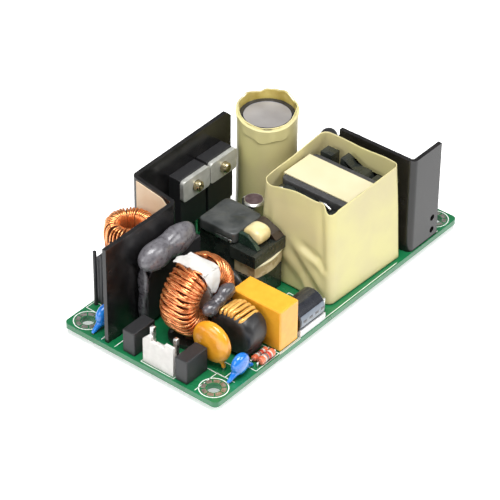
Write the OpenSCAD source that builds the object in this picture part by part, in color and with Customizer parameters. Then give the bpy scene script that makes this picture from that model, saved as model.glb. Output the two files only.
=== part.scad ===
// Open frame AC-DC power supply on a 4 x 2 inch board, millimetres.
// X runs along the board from the mains end to the output end, Y across it, Z up.
// The origin is the centre of the four mounting holes on the board's underside.

/* [Board] */
// Length of the board
board_l = 101.6; // [100:0.1:110]
// Width of the board
board_w = 50.8; // [50:0.1:56]
// Thickness of the board
board_t = 1.6; // [1.2:0.1:2.4]
// Corner radius of the board
board_r = 1.5; // [0.5:0.1:2.5]
// Mounting hole centre to each board edge
mount_inset = 4.445; // [4:0.005:5]
// Mounting hole diameter
mount_d = 3.6; // [3.2:0.1:4]
// Gap around a lead in its drilled hole, each side
lead_gap = 0.12; // [0.05:0.01:0.2]
// Height of a solder joint's cone
solder_h = 0.9; // [0.6:0.1:1.2]
// Length of a clipped lead end below the board
tip_l = 1.8; // [1.4:0.1:2.4]

/* [Heat sinks] */
// Thickness of the folded sheet
sink_t = 1.2; // [1:0.1:1.5]
// Height of the heat sinks above the board
sink_h = 29.2; // [28:0.1:32]
// Outer radius of the folds
sink_bend_r = 1.8; // [1.6:0.1:2]
// Depth of the pocket that the primary sink's folds make
sink_pocket_w = 14.7; // [14.6:0.1:15.4]
// Length of the primary sink's front plate
sink_plate_l = 27.2; // [27:0.1:28]
// Length of the primary sink's back plate
sink_back_l = 38.6; // [38:0.1:39]
// Length of the secondary sink's flap along the board edge
flap_l = 12.2; // [11:0.1:13]
// Length of the secondary sink's plate across the board
sec_plate_l = 24.4; // [23:0.1:25]
// Distance from the output edge to the secondary sink's plate
sec_sink_in = 21.5; // [21.2:0.1:21.8]
// Width of a solder tab on the sinks
sink_tab_w = 3; // [2:0.1:4]
// Diameter of the holes in the flap
flap_hole_d = 1.8; // [1.5:0.1:2.5]
// Thickness of the insulating tape
tape_t = 0.25; // [0.15:0.01:0.3]

/* [Power transistors] */
// Width of the moulded body
to_w = 10.2; // [10:0.1:10.4]
// Height of the moulded body
to_h = 15.9; // [15:0.1:16.5]
// Thickness of the moulded body
to_t = 4.0; // [3.6:0.1:4.4]
// Body's screw hole to its top edge
to_hole_in = 3.3; // [3:0.1:3.6]
// Lead pitch
to_pitch = 2.54; // [2.5:0.01:2.6]
// Width of the square-section leads
to_lead_w = 0.8; // [0.6:0.1:1]
// Height of the clamping screws above the board
clamp_z = 21.2; // [20.5:0.1:22]
// Width of a clamp plate
clamp_w = 10.7; // [10.4:0.1:10.8]
// Height of a clamp plate
clamp_h = 6.4; // [6:0.1:7]
// Thickness of a clamp plate
clamp_t = 1.3; // [1:0.1:1.6]
// Diameter of the clamping screws
screw_d = 3; // [2.5:0.1:3.2]

/* [Bridge rectifier] */
// Width of the body
bridge_w = 20.6; // [20:0.1:21]
// Height of the body
bridge_h = 16.2; // [15:0.1:17]
// Thickness of the body
bridge_t = 3.4; // [3.2:0.1:3.6]
// Size of the polarity corner
bridge_chamfer = 2.6; // [2:0.1:3]
// Lead pitch
bridge_pitch = 5.08; // [5:0.02:5.2]

/* [Common mode choke] */
// Outer diameter of the ring core
cm_core_d = 18.4; // [18.2:0.1:18.6]
// Bore of the ring core
cm_core_bore = 10.6; // [10.4:0.1:10.8]
// Height of the ring core, across the board
cm_core_h = 6.6; // [6.4:0.1:6.8]
// Wire diameter
cm_wire = 0.95; // [0.8:0.05:1]
// Turns in each winding
cm_turns = 22; // [18:1:24]
// Half of the angle left bare between the windings
cm_bare = 17; // [16:1:20]
// Thickness of the mounting base
cm_base_t = 1.2; // [1:0.1:1.6]

/* [Sleeved choke] */
// Outer diameter of the wound ring, across the board
sc_d = 12.4; // [12:0.1:12.6]
// Thickness of the wound ring, along the board
sc_t = 7.2; // [7:0.1:7.4]
// Wall of the shrunk sleeve
sc_wall = 0.5; // [0.4:0.05:0.6]

/* [Filter toroid] */
// Outer diameter over the winding
ft_d = 13.8; // [13:0.1:14]
// Height over the winding
ft_h = 9; // [8.5:0.1:9.2]
// Hole that the winding leaves
ft_hole_d = 5.2; // [4.8:0.1:5.6]
// Turns
ft_turns = 38; // [30:1:42]

/* [Film capacitors] */
// Yellow capacitor, size along the board
xcap_l = 7.5; // [7:0.1:7.6]
// Yellow capacitor, size across the board
xcap_w = 15.9; // [15:0.1:16]
// Yellow capacitor, height
xcap_h = 12.6; // [12:0.1:13]
// Grey capacitor, size along the board
gcap_l = 14; // [13:0.1:14.2]
// Grey capacitor, size across the board
gcap_w = 8.4; // [8:0.1:8.6]
// Grey capacitor, height
gcap_h = 13.9; // [13:0.1:14]

/* [Discs] */
// Diameter of the varistor
mov_d = 11.4; // [10.5:0.1:12]
// Thickness of the varistor
mov_t = 4; // [3.6:0.1:4.2]
// Diameter of the blue disc capacitors
ycap_d = 5.8; // [5.4:0.1:6.2]
// Thickness of the blue disc capacitors
ycap_t = 2.8; // [2.4:0.1:3]
// Lead spacing of the blue disc capacitors
ycap_pitch = 9; // [8.6:0.1:9.4]

/* [Fuses and inlet] */
// Fuse length
fuse_l = 8; // [7.6:0.1:8.2]
// Fuse width
fuse_w = 4; // [3.8:0.1:4.1]
// Fuse height
fuse_h = 7.1; // [6.8:0.1:8]
// Width of the inlet header
inlet_w = 10; // [9.8:0.1:10.2]
// Pin spacing of the inlet header
inlet_pitch = 7.62; // [7.5:0.01:7.7]
// Height of the inlet header's locking wall
inlet_h = 8.9; // [8:0.1:9.5]
// Length of the header pins above the board
inlet_pin_h = 10.2; // [9.5:0.1:11]

/* [Electrolytic capacitors] */
// Diameter of the bulk capacitor
bulk_d = 16; // [15.6:0.1:16.2]
// Height of the bulk capacitor
bulk_h = 30.2; // [30:0.1:31]
// Diameter of the lying capacitor
lay_d = 8; // [7.6:0.1:8.2]
// Length of the lying capacitor
lay_l = 10.8; // [10:0.1:11]
// Diameter of the control capacitor
ctl_d = 6.3; // [6:0.1:6.4]
// Height of the control capacitor
ctl_h = 14; // [12:0.1:15]
// Diameter of the output capacitors
out_d = 8; // [7.6:0.1:8.1]
// Height of the output capacitor past the end of its heat sink
out_h = 19.4; // [17:0.1:21]
// Height of the output capacitors below the clamping screws
out_low_h = 16; // [13:0.1:17]
// Diameter of the rod choke
rod_d = 5; // [4.6:0.1:5.2]
// Height of the rod choke
rod_h = 20.4; // [19:0.1:21]

/* [Transformer] */
// Sheath size along the board
tr_l = 26.8; // [26.4:0.1:27]
// Sheath size across the board
tr_w = 25.6; // [25.4:0.1:25.8]
// Core height
tr_core_h = 24.6; // [24:0.1:25]
// Core depth along the board
tr_core_l = 14.6; // [14:0.1:15]
// Centre leg diameter
tr_leg_d = 9.6; // [9:0.1:10]
// Width of the tape band across the top
tr_band_w = 10.8; // [10:0.1:11.5]

/* [Boost inductor] */
// Core size along the board
bi_l = 12; // [11.6:0.1:12.2]
// Core size across the board
bi_w = 12.2; // [12:0.1:12.4]
// Height over the core
bi_h = 18.6; // [18:0.1:19]

/* [Output header] */
// Number of output pins
out_pins = 6; // [4:1:7]
// Pin pitch
out_pitch = 3.96; // [3.9:0.01:4]

/* [Hidden] */
fit = 0.1;
zb = board_t;
edge_x = board_l/2;
edge_y = board_w/2;
eps = 0.01;
wire_r = 0.3;

// Primary heat sink: a Z in plan, free end at the mains edge, back plate flush with the far edge
plate_in = 0.8;
front_y = edge_y - sink_pocket_w;
plate_x0 = -edge_x + plate_in;
fold_x = plate_x0 + sink_plate_l;
pocket_x = fold_x - sink_t;
back_y = edge_y - sink_t;
sink_top = zb + sink_h;
screw_gap = 0.1;
to_first = 17.2;
to_gap = 11;
to_x = [fold_x + to_first, fold_x + to_first + to_gap];
screw_z = zb + clamp_z;
stud_out = 1.5;
head_t = 0.8;
head_d = 5.5;
leg_back = 2.6;

// Secondary heat sink: an L in plan, fold at the near board edge
sec_x = edge_x - sec_sink_in;
sec_y = -edge_y + 0.3;
sec_face = sec_x + sink_t;
rect_y = [sec_y + 7.6, sec_y + 18.6];

// Bridge rectifier flat against the front plate
bridge_x1 = fold_x + 5;
bridge_x0 = bridge_x1 - bridge_w;
bridge_y0 = front_y - bridge_t;
bridge_z0 = zb + 1.2;
bridge_lead_y = front_y - bridge_t/2;
bridge_leads = [for (i = [-1.5:1:1.5]) (bridge_x0 + bridge_x1)/2 + i*bridge_pitch];

// Common mode choke in front of the rectifier, ring upright, axis across the board
cm_build = 1.7;
cm_r = cm_core_d/2 + cm_build;
cm_w = cm_core_h + 2*cm_build;
cm_x = -edge_x + 19.4;
cm_y = bridge_y0 - 5.5 - cm_w/2;
cm_z = zb + cm_base_t + fit + cm_r*cos(cm_bare);
cm_reach = cm_core_h/2 + fit + 1.2;
cm_base_l = 17;
cm_base_w = 10.6;

// Header and fuses along the mains edge
inlet_x0 = -edge_x + 1.1;
inlet_y = -5.6;
inlet_base_l = 5.5;
inlet_base_h = 3;
inlet_pin_x = inlet_x0 + 2.7;
inlet_pin_w = 1.1;
fuse_x0 = -edge_x + 0.95;
fuse_y = [inlet_y - inlet_w/2 - 0.7 - fuse_w/2, inlet_y + inlet_w/2 + 2.6 + fuse_w/2];

// Varistor behind the near fuse, then the sleeved choke and the yellow film capacitor
mov_x = fuse_x0 + fuse_l + 0.7 + mov_t/2;
mov_y = -14.4;
mov_z = zb + 1.1 + mov_d/2;
mov_pitch = 7.5;
sc_x = mov_x + mov_t/2 + 3.35 + sc_t/2 + sc_wall;
sc_y = -15.3;
sc_lift = 0.6;
sc_z = zb + sc_lift + sc_d/2;
sc_build = 1.4;
xcap_x0 = sc_x + sc_t/2 + sc_wall + fit + 0.35;
xcap_y0 = -edge_y + 0.5;

// Blue disc capacitors
ycap_left = [-edge_x + 5.8, 16.3];
ycap_near = [-edge_x + 12.6, -22.7];
ycap_lift = 0.6;
ycap_z = zb + ycap_lift + ycap_d/2;

// Grey film capacitor in the pocket, with the filter toroid lying on it
gcap_x1 = pocket_x - tape_t - 0.8;
gcap_y1 = edge_y - 0.3;
gcap_top = zb + gcap_h;
ft_x = pocket_x - tape_t - 0.5 - ft_d/2;
ft_y = front_y + sink_t + fit + ft_d/2;
ft_build = 1.2;
ft_pad = 1.8;
ft_z = gcap_top + ft_pad;

// Thermistor between the common mode choke and the boost inductor
ntc_d = 9.6;
ntc_t = 3;
ntc_x = cm_x + cm_r + 0.5 + ntc_t/2;
ntc_y = -2.2;
ntc_z = zb + 2.6 + ntc_d/2;
ntc_pitch = 5;

// Axial resistors beside the sleeved choke
res_l = 5.4;
res_x = sc_x + 0.1;
res_r = [1.1, 0.85];
res_y = [-edge_y + 0.25 + res_r[0], -edge_y + 0.4 + 2*res_r[0] + res_r[1]];
res_pitch = 7;

// Lying capacitor along the near edge
lay_x0 = xcap_x0 + xcap_l + 0.4;
lay_y = -edge_y + 0.2 + lay_d/2;
lay_z = zb + lay_d/2 + 0.2;
lay_pitch = 3.5;
lay_lead_x = lay_x0 + lay_l + 1.8;

// Boost inductor: core upright behind its bobbin's terminal bar
bi_x1 = -1.5;
bi_x0 = bi_x1 - bi_l;
bi_y1 = 12.1;
bi_y0 = bi_y1 - bi_w;
bi_top = zb + bi_h;
bi_base_x1 = -3;
bi_base_h = 7.4;
bi_bar_y = -7.5;
bi_bar_z = [zb + 11.4, zb + 15];

// Standing capacitors
bulk_x = 20.9;
bulk_tape_t = 0.4;
bulk_y = edge_y - 0.05 - bulk_d/2 - bulk_tape_t;
bulk_lift = 0.3;
sleeve_t = 0.2;
bulk_top = zb + bulk_lift + bulk_h;
bulk_pitch = 7.5;
ctl_at = [7, 10];
out_at = [[sec_face + 7.8, 2.4, out_h], [sec_face + 8.7, -15.6, out_low_h],
    [sec_face + 8.7, -6.3, out_low_h]];
rod_at = [sec_face + 7.5, 9.3];
out_pitch_c = 3.5;

// Main transformer
tr_x = 13;
tr_y = -10.6;
tr_core_w = tr_w - 4;
tr_core_z = zb + 1.5;
tr_core_top = tr_core_z + tr_core_h;
tr_wall = 0.3;
tr_plate = 3.6;
tr_window_d = tr_core_w - 5;
tr_tube_t = 0.8;
tr_flange_t = 1;
tr_bobbin_l = 22.8;
tr_pin_x = 10;
tr_pin_pitch = 3.8;
tr_tape_t = 0.3;

// Output header
out_x = edge_x - 4;
out_y = -2;
out_w = 6.4;
out_base_h = 3.2;
out_wall_h = 8;

// Optocouplers on the isolation gap
opto_at = [[34.2, 15.2], [34.2, 21.2]];
opto_l = 4.6;
opto_w = 4.6;
opto_h = 3.5;

// Every wire or pin that passes the board: x, y, radius
function row(x, ys, r) = [for (y = ys) [x, y, r]];
function line(xs, y, r) = [for (x = xs) [x, y, r]];
leg_r = to_lead_w/2*sqrt(2);
WIRES = concat(
    row(mov_x, [mov_y - mov_pitch/2, mov_y + mov_pitch/2], 0.35),
    line([for (s = [-0.5, 0.5]) ycap_left[0] + s*ycap_pitch], ycap_left[1], wire_r),
    line([for (s = [-0.5, 0.5]) ycap_near[0] + s*ycap_pitch], ycap_near[1], wire_r),
    row(ntc_x, [ntc_y - ntc_pitch/2, ntc_y + ntc_pitch/2], 0.35));
WIRE_TOP = concat([for (i = [0:1]) mov_z - mov_d/2 + 1.4], [for (i = [0:3]) ycap_z - 0.4],
    [for (i = [0:1]) ntc_z - ntc_d/2 + 1]);
XCAP_LEADS = row(xcap_x0 + xcap_l/2, [xcap_y0 + 2.2, xcap_y0 + xcap_w - 2.2], wire_r);
GCAP_LEADS = line([gcap_x1 - 1.8, gcap_x1 - gcap_l + 1.8], gcap_y1 - gcap_w/2, wire_r);
CM_LEADS = [for (sx = [-1, 1]) for (sy = [-1, 1]) [cm_x + sx*5.6, cm_y + sy*4, cm_wire/2]];
SC_LEADS = row(sc_x, [sc_y - 4.6, sc_y + 4.6], 0.35);
RES_LEADS = [for (y = res_y) for (s = [-0.5, 0.5]) [res_x + s*res_pitch, y, 0.25]];
LAY_LEADS = row(lay_lead_x, [lay_y - lay_pitch/2, lay_y + lay_pitch/2], 0.25);
BULK_LEADS = line([bulk_x - bulk_pitch/2, bulk_x + bulk_pitch/2], bulk_y, 0.4);
CTL_LEADS = row(ctl_at[0], [ctl_at[1] - 1.25, ctl_at[1] + 1.25], 0.25);
OUT_LEADS = [for (c = out_at) for (s = [-0.5, 0.5]) [c[0], c[1] + s*out_pitch_c, 0.3]];
ROD_LEADS = row(rod_at[0], [rod_at[1] - 1.25, rod_at[1] + 1.25], 0.3);
FUSE_LEADS = [for (y = fuse_y) for (s = [-0.5, 0.5]) [fuse_x0 + fuse_l/2 + s*5.08, y, wire_r]];
INLET_PINS = row(inlet_pin_x, [inlet_y - inlet_pitch/2, inlet_y + inlet_pitch/2], inlet_pin_w/2*sqrt(2));
BRIDGE_LEGS = line(bridge_leads, bridge_lead_y, 0.55);
TO_LEGS = [for (x = to_x) for (i = [-1:1]) [x + i*to_pitch, back_y - leg_back, leg_r]];
RECT_LEGS = [for (y = rect_y) for (i = [-1:1]) [sec_face + leg_back, y + i*to_pitch, leg_r]];
TR_PINS = [for (s = [-1, 1]) for (i = [-2:2]) [tr_x + s*tr_pin_x, tr_y + i*tr_pin_pitch, 0.4]];
BI_PINS = [for (s = [0, 1]) for (i = [0:2]) [bi_x0 + 2 + 3.4*i, s == 0 ? -6.6 : bi_y1 - 1.6, 0.35]];
FT_LEADS = [[gcap_x1 - gcap_l - 0.9, gcap_y1 - 1.2, 0.5], [gcap_x1 - gcap_l - 0.9, gcap_y1 - 3.6, 0.5]];
OUT_PINS = [for (i = [0:out_pins - 1])
    [out_x, out_y + (i - (out_pins - 1)/2)*out_pitch, inlet_pin_w/2*sqrt(2)]];
OPTO_LEGS = [for (c = opto_at) for (sx = [-1, 1]) for (sy = [-1, 1])
    [c[0] + sx*3.81, c[1] + sy*1.27, 0.35]];
SINK_TABS = [[plate_x0 + 4, front_y + sink_t/2, 0], [fold_x - 5, front_y + sink_t/2, 0],
    [to_x[0] - 6, back_y + sink_t/2, 0], [to_x[1] + 6, back_y + sink_t/2, 0]];
SEC_TABS = [[sec_x + sink_t/2, sec_y + 4, 90], [sec_x + sink_t/2, sec_y + sec_plate_l - 3, 90]];
tab_reach = 1;
ALL_LEADS = concat(WIRES, XCAP_LEADS, GCAP_LEADS, CM_LEADS, SC_LEADS, RES_LEADS, LAY_LEADS, BULK_LEADS,
    CTL_LEADS, OUT_LEADS, ROD_LEADS, FUSE_LEADS, INLET_PINS, BRIDGE_LEGS, TO_LEGS, RECT_LEGS, TR_PINS, BI_PINS,
    FT_LEADS, OUT_PINS, OPTO_LEGS);

// ---- outlines and sweeps ----

function arc(cx, cy, r, a0, a1, n = 5) =
    [for (i = [0:n]) let (a = a0 + (a1 - a0)*i/n) [cx + r*cos(a), cy + r*sin(a)]];

function round_rect(l, w, r, n = 5) = concat(
    arc(l/2 - r, w/2 - r, r, 0, 90, n), arc(-l/2 + r, w/2 - r, r, 90, 180, n),
    arc(-l/2 + r, -w/2 + r, r, 180, 270, n), arc(l/2 - r, -w/2 + r, r, 270, 360, n));

// Closed outline through corners in space, each rounded over the distance r
function soft_corners(c, r, n = 4) = [for (k = [0:len(c) - 1])
    let (p = c[k], a = c[(k + len(c) - 1)%len(c)], b = c[(k + 1)%len(c)],
        u = p + (a - p)*r/norm(a - p), v = p + (b - p)*r/norm(b - p))
    for (i = [0:n]) let (t = i/n) (1 - t)*(1 - t)*u + 2*t*(1 - t)*p + t*t*v];

function join(rings) = [for (ring = rings) for (p = ring) p];

// A wall swept from ring to ring, up the outside and back down the inside
module wall_of(rings) {
    n = len(rings[0]);
    m = len(rings);
    polyhedron(join(rings), [for (k = [0:m - 1]) for (j = [0:n - 1]) for (half = [0, 1])
        let (a = k*n + j, b = ((k + 1)%m)*n + j, c = ((k + 1)%m)*n + (j + 1)%n, d = k*n + (j + 1)%n)
            half == 0 ? [a, b, c] : [a, c, d]]);
}

// Section round a ring core, h high, grown by g all round, at the angle a
function core_ring(ri, ro, h, g, r, a) = [for (p = round_rect(ro - ri + 2*g, h + 2*g, r, 2))
    let (rad = (ri + ro)/2 + p[0]) [rad*cos(a), rad*sin(a), p[1]]];

// A winding round part of a ring core: rippled once a turn outside, a plain clearance inside
module ring_winding(ri, ro, h, build, turns, ripple, a0, a1) {
    steps = turns*3;
    inner = ceil((a1 - a0)/8);
    outside = [for (i = [0:steps]) core_ring(ri, ro, h, build - ripple + ripple*cos(120*i), build,
        a0 + (a1 - a0)*i/steps)];
    inside = [for (i = [0:inner]) core_ring(ri, ro, h, fit, 0.3, a0 + (a1 - a0)*i/inner)];
    n = len(outside[0]);
    base = (steps + 1)*n;
    polyhedron(concat(join(outside), join(inside)), concat(
        [for (i = [0:steps - 1]) for (j = [0:n - 1]) let (k = (j + 1)%n)
            [i*n + j, i*n + k, (i + 1)*n + k, (i + 1)*n + j]],
        [for (i = [0:inner - 1]) for (j = [0:n - 1]) let (k = (j + 1)%n)
            [base + i*n + k, base + i*n + j, base + (i + 1)*n + j, base + (i + 1)*n + k]],
        [for (j = [0:n - 1]) let (k = (j + 1)%n) [j, base + j, base + k, k]],
        [for (j = [0:n - 1]) let (k = (j + 1)%n)
            [steps*n + k, base + inner*n + k, base + inner*n + j, steps*n + j]]));
}

module slab(l, w, h, r, n = 5) {
    linear_extrude(h) polygon(round_rect(l, w, r, n));
}

// A moulded box with every edge rounded
module soft_box(l, w, h, r) {
    intersection() {
        slab(l, w, h, r, 3);
        translate([0, w/2, h/2]) rotate([90, 0, 0]) slab(l, h, w, r, 3);
        translate([-l/2, 0, h/2]) rotate([90, 0, 90]) slab(w, h, l, r, 3);
    }
}

module ring(ro, ri, h) {
    difference() {
        cylinder(r = ro, h = h, $fn = 64);
        translate([0, 0, -1]) cylinder(r = ri, h = h + 2, $fn = 64);
    }
}

// Straight round wires from the board's underside up to z
module wires(list, z) {
    for (w = list) translate([w[0], w[1], 0]) cylinder(r = w[2], h = z, $fn = 24);
}

// Square legs from the board's underside up to z, for holes listed with their radius over the corners
module legs(list, z) {
    for (w = list) translate([w[0], w[1], z/2]) cube([w[2]*sqrt(2), w[2]*sqrt(2), z], center = true);
}

module disc(d, t, edge, n = 4) {
    rotate_extrude($fn = 64) polygon(concat([[0, -t/2]], arc(d/2 - edge, -t/2 + edge, edge, -90, 0, n),
        arc(d/2 - edge, t/2 - edge, edge, 0, 90, n), [[0, t/2]]));
}

// ---- board ----

module circuit_board() {
    color("green") difference() {
        slab(board_l, board_w, board_t, board_r);
        for (sx = [-1, 1]) for (sy = [-1, 1])
            translate([sx*(edge_x - mount_inset), sy*(edge_y - mount_inset), -1])
                cylinder(d = mount_d, h = board_t + 2, $fn = 64);
        for (w = ALL_LEADS) translate([w[0], w[1], -1])
            cylinder(r = w[2] + lead_gap, h = board_t + 2, $fn = 24);
        for (t = concat(SINK_TABS, SEC_TABS)) translate([t[0], t[1], board_t/2]) rotate(t[2])
            cube([sink_tab_w + 2*lead_gap, sink_t + 2*lead_gap, board_t + 2], center = true);
    }
}

module solder_joints() {
    color("silver") for (w = ALL_LEADS) translate([w[0], w[1], 0]) mirror([0, 0, 1])
        rotate_extrude($fn = 24) polygon([[0, 0], [w[2] + lead_gap + 0.35, 0],
            [w[2] + 0.1, solder_h], [w[2], tip_l - 0.2], [w[2] - 0.15, tip_l], [0, tip_l]]);
}

// ---- heat sinks ----

module sink_tabs(list) {
    for (t = list) translate([t[0], t[1], zb/2 - tab_reach/2]) rotate(t[2])
        cube([sink_tab_w, sink_t, zb + tab_reach + 2*eps], center = true);
}

module primary_heat_sink() {
    ri = sink_bend_r - sink_t;
    rc = sink_bend_r;
    end_x = pocket_x + sink_back_l;
    color("dimgray") difference() {
        union() {
            translate([0, 0, zb]) linear_extrude(sink_h) polygon(concat(
                [[plate_x0, front_y]], arc(fold_x - rc, front_y + rc, rc, -90, 0),
                arc(pocket_x + rc, edge_y - rc, ri, 180, 90),
                [[end_x, back_y], [end_x, edge_y]], arc(pocket_x + rc, edge_y - rc, rc, 90, 180),
                arc(fold_x - rc, front_y + rc, ri, 0, -90), [[plate_x0, front_y + sink_t]]));
            sink_tabs(SINK_TABS);
        }
        for (x = to_x) translate([x, back_y - 1, screw_z]) rotate([-90, 0, 0])
            cylinder(d = screw_d + 2*screw_gap, h = sink_t + 2, $fn = 48);
        translate([end_x, edge_y, sink_top]) rotate([0, 45, 0]) cube([2.4, 4, 2.4], center = true);
    }
}

module secondary_heat_sink() {
    ri = sink_bend_r - sink_t;
    rc = sink_bend_r;
    color("dimgray") difference() {
        union() {
            translate([0, 0, zb]) linear_extrude(sink_h) polygon(concat(
                arc(sec_x + rc, sec_y + rc, rc, 180, 270),
                [[sec_x + flap_l, sec_y], [sec_x + flap_l, sec_y + sink_t]],
                arc(sec_x + rc, sec_y + rc, ri, 270, 180),
                [[sec_face, sec_y + sec_plate_l], [sec_x, sec_y + sec_plate_l]]));
            sink_tabs(SEC_TABS);
        }
        for (y = rect_y) translate([sec_x - 1, y, screw_z]) rotate([0, 90, 0])
            cylinder(d = screw_d + 2*screw_gap, h = sink_t + 2, $fn = 48);
        for (z = [4.1, 8]) translate([sec_x + flap_l - 2.4, sec_y - 1, z]) rotate([-90, 0, 0])
            cylinder(d = flap_hole_d, h = sink_t + 2, $fn = 32);
    }
}

// Insulating tape on the pocket's side panel, its upper front corner rounded
module heat_sink_tape() {
    y0 = front_y + sink_t + 0.8;
    y1 = edge_y - sink_bend_r - 0.2;
    z0 = gcap_top + 0.5;
    color("antiquewhite") translate([pocket_x - tape_t, 0, 0]) rotate([90, 0, 90])
        linear_extrude(tape_t) polygon(concat([[y0, z0], [y1, z0], [y1, sink_top - 0.6]],
            arc(y0 + 3, sink_top - 3.6, 3, 90, 180)));
}

// ---- clamped power devices: seen with their seat on the plane y = 0 and their body towards -y ----

module power_body() {
    color("black") translate([0, 0, screw_z + to_hole_in - to_h]) difference() {
        translate([-to_w/2, -to_t, 0]) cube([to_w, to_t, to_h]);
        translate([0, 1, to_h - to_hole_in]) rotate([90, 0, 0])
            cylinder(d = screw_d + 2*screw_gap, h = to_t + 2, $fn = 48);
        translate([0, -to_t, to_h]) rotate([45, 0, 0]) cube([to_w + 2, 0.8, 0.8], center = true);
    }
}

module power_legs() {
    top = screw_z + to_hole_in - to_h;
    color("silver") for (i = [-1:1]) translate([i*to_pitch, -leg_back, top/2])
        cube([to_lead_w, to_lead_w, top], center = true);
}

module power_plate() {
    color("gainsboro") translate([0, -to_t, screw_z]) rotate([90, 0, 0]) difference() {
        translate([0, 0.2, 0]) slab(clamp_w, clamp_h, clamp_t, 1);
        translate([0, 0, -1]) cylinder(d = screw_d + 0.1, h = clamp_t + 2, $fn = 48);
    }
}

module power_screw() {
    color("burlywood") translate([0, sink_t + head_t, screw_z]) rotate([90, 0, 0]) difference() {
        rotate_extrude($fn = 48) polygon([[0, 0], [head_d/2 - 0.3, 0], [head_d/2, 0.3],
            [head_d/2, head_t], [screw_d/2, head_t],
            [screw_d/2, head_t + sink_t + to_t + clamp_t + stud_out - 0.4],
            [screw_d/2 - 0.4, head_t + sink_t + to_t + clamp_t + stud_out],
            [0, head_t + sink_t + to_t + clamp_t + stud_out]]);
        for (a = [0, 90]) rotate(a) cube([2.6, 0.6, 0.9], center = true);
    }
}

module on_primary() {
    for (x = to_x) translate([x, back_y, 0]) children();
}

module on_secondary() {
    for (y = rect_y) translate([sec_face, y, 0]) rotate(90) children();
}

module transistor_bodies() { on_primary() power_body(); }
module transistor_legs() { on_primary() power_legs(); }
module rectifier_bodies() { on_secondary() power_body(); }
module rectifier_legs() { on_secondary() power_legs(); }

module clamp_plates() {
    on_primary() power_plate();
    on_secondary() power_plate();
}

module clamp_screws() {
    on_primary() power_screw();
    on_secondary() power_screw();
}

// ---- bridge rectifier ----

module bridge_rectifier() {
    color([0.13, 0.13, 0.14]) translate([bridge_x0, front_y, bridge_z0]) rotate([90, 0, 0])
        linear_extrude(bridge_t) polygon([[0, 0], [bridge_w, 0], [bridge_w, bridge_h],
            [bridge_chamfer, bridge_h], [0, bridge_h - bridge_chamfer]]);
}

module bridge_legs() {
    color("silver") legs(BRIDGE_LEGS, bridge_z0);
}

// ---- silicone: the bead over the rectifier, one on the grey capacitor, one between the chokes ----

// A rounded blob of silicone between two points
module blob(a, b, r) {
    hull() for (p = [a, b]) translate(p) sphere(r, $fn = 28);
}

module silicone_beads() {
    r = 3.7;
    top = bridge_z0 + bridge_h + 3.4;
    gcap_x = gcap_x1 - gcap_l;
    gcap_y = gcap_y1 - gcap_w;
    near_y = cm_y - cm_w/2;
    between_r = 1.9;
    color([0.3, 0.3, 0.32]) {
        difference() {
            blob([bridge_x0 + 1.4, front_y - r + 0.2, top], [bridge_x0 + 13.4, front_y - r + 0.2, top], r);
            translate([bridge_x0 - 9, front_y, top - 9]) cube([36, 9, 18]);
            translate([bridge_x0 - 9, bridge_y0, bridge_z0 - 9]) cube([36, 9, bridge_h + 9]);
        }
        difference() {
            hull() {
                translate([gcap_x - 0.3, gcap_y - 0.3, zb + 5.5]) sphere(1.9, $fn = 28);
                translate([gcap_x - 0.2, gcap_y - 0.1, zb + 11.5]) sphere(1.5, $fn = 28);
            }
            translate([gcap_x, gcap_y, zb]) cube([gcap_l, gcap_w, gcap_h]);
        }
        difference() {
            blob([sc_x - 5.5, near_y - fit - between_r, sc_z + 6.1],
                [sc_x + 1.2, near_y - fit - between_r, sc_z + 6.9], between_r);
            translate([sc_x - 12, sc_y, sc_z]) rotate([-40, 0, 0]) translate([0, -9, -9])
                cube([24, 18, 9 + sc_d/2 + sc_wall + 3*fit]);
        }
        translate([ft_x, ft_y, gcap_top]) slab(8, 6.4, ft_pad - 2*fit, 2);
    }
}

// ---- pocket of the primary sink ----

module grey_film_capacitor() {
    color([0.35, 0.36, 0.38]) translate([gcap_x1 - gcap_l/2, gcap_y1 - gcap_w/2, zb]) difference() {
        soft_box(gcap_l, gcap_w, gcap_h, 0.5);
        cube([gcap_l - 2.4, gcap_w + 2, 0.8], center = true);
    }
}

module toroid_core() {
    color([0.25, 0.3, 0.25]) translate([ft_x, ft_y, ft_z + ft_build])
        ring(ft_d/2 - ft_build, ft_hole_d/2 + ft_build, ft_h - 2*ft_build);
}

module toroid_winding() {
    color([0.75, 0.4, 0.2]) translate([ft_x, ft_y, ft_z + ft_h/2]) ring_winding(
        ft_hole_d/2 + ft_build, ft_d/2 - ft_build, ft_h - 2*ft_build, ft_build, ft_turns, 0.16, -195, 155);
}

// Sleeved leads from the toroid down beside the grey capacitor
module toroid_leads() {
    color("black") wires(FT_LEADS, ft_z + ft_build);
}

// ---- discs ----

module disc_capacitors() {
    color([0.1, 0.45, 0.75]) for (at = [ycap_left, ycap_near])
        translate([at[0], at[1], ycap_z]) rotate([90, 0, 0]) disc(ycap_d, ycap_t, 1.4);
}

module varistor() {
    color([0.95, 0.6, 0.1]) translate([mov_x, mov_y, mov_z]) rotate([0, 90, 0]) disc(mov_d, mov_t, 1.6);
}

module thermistor() {
    color([0.15, 0.16, 0.15]) translate([ntc_x, ntc_y, ntc_z]) rotate([0, 90, 0]) disc(ntc_d, ntc_t, 1.2);
}

module fuses() {
    color([0.12, 0.12, 0.13]) for (y = fuse_y) translate([fuse_x0 + fuse_l/2, y, zb])
        soft_box(fuse_l, fuse_w, fuse_h, 0.35);
}

// ---- mains header ----

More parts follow.
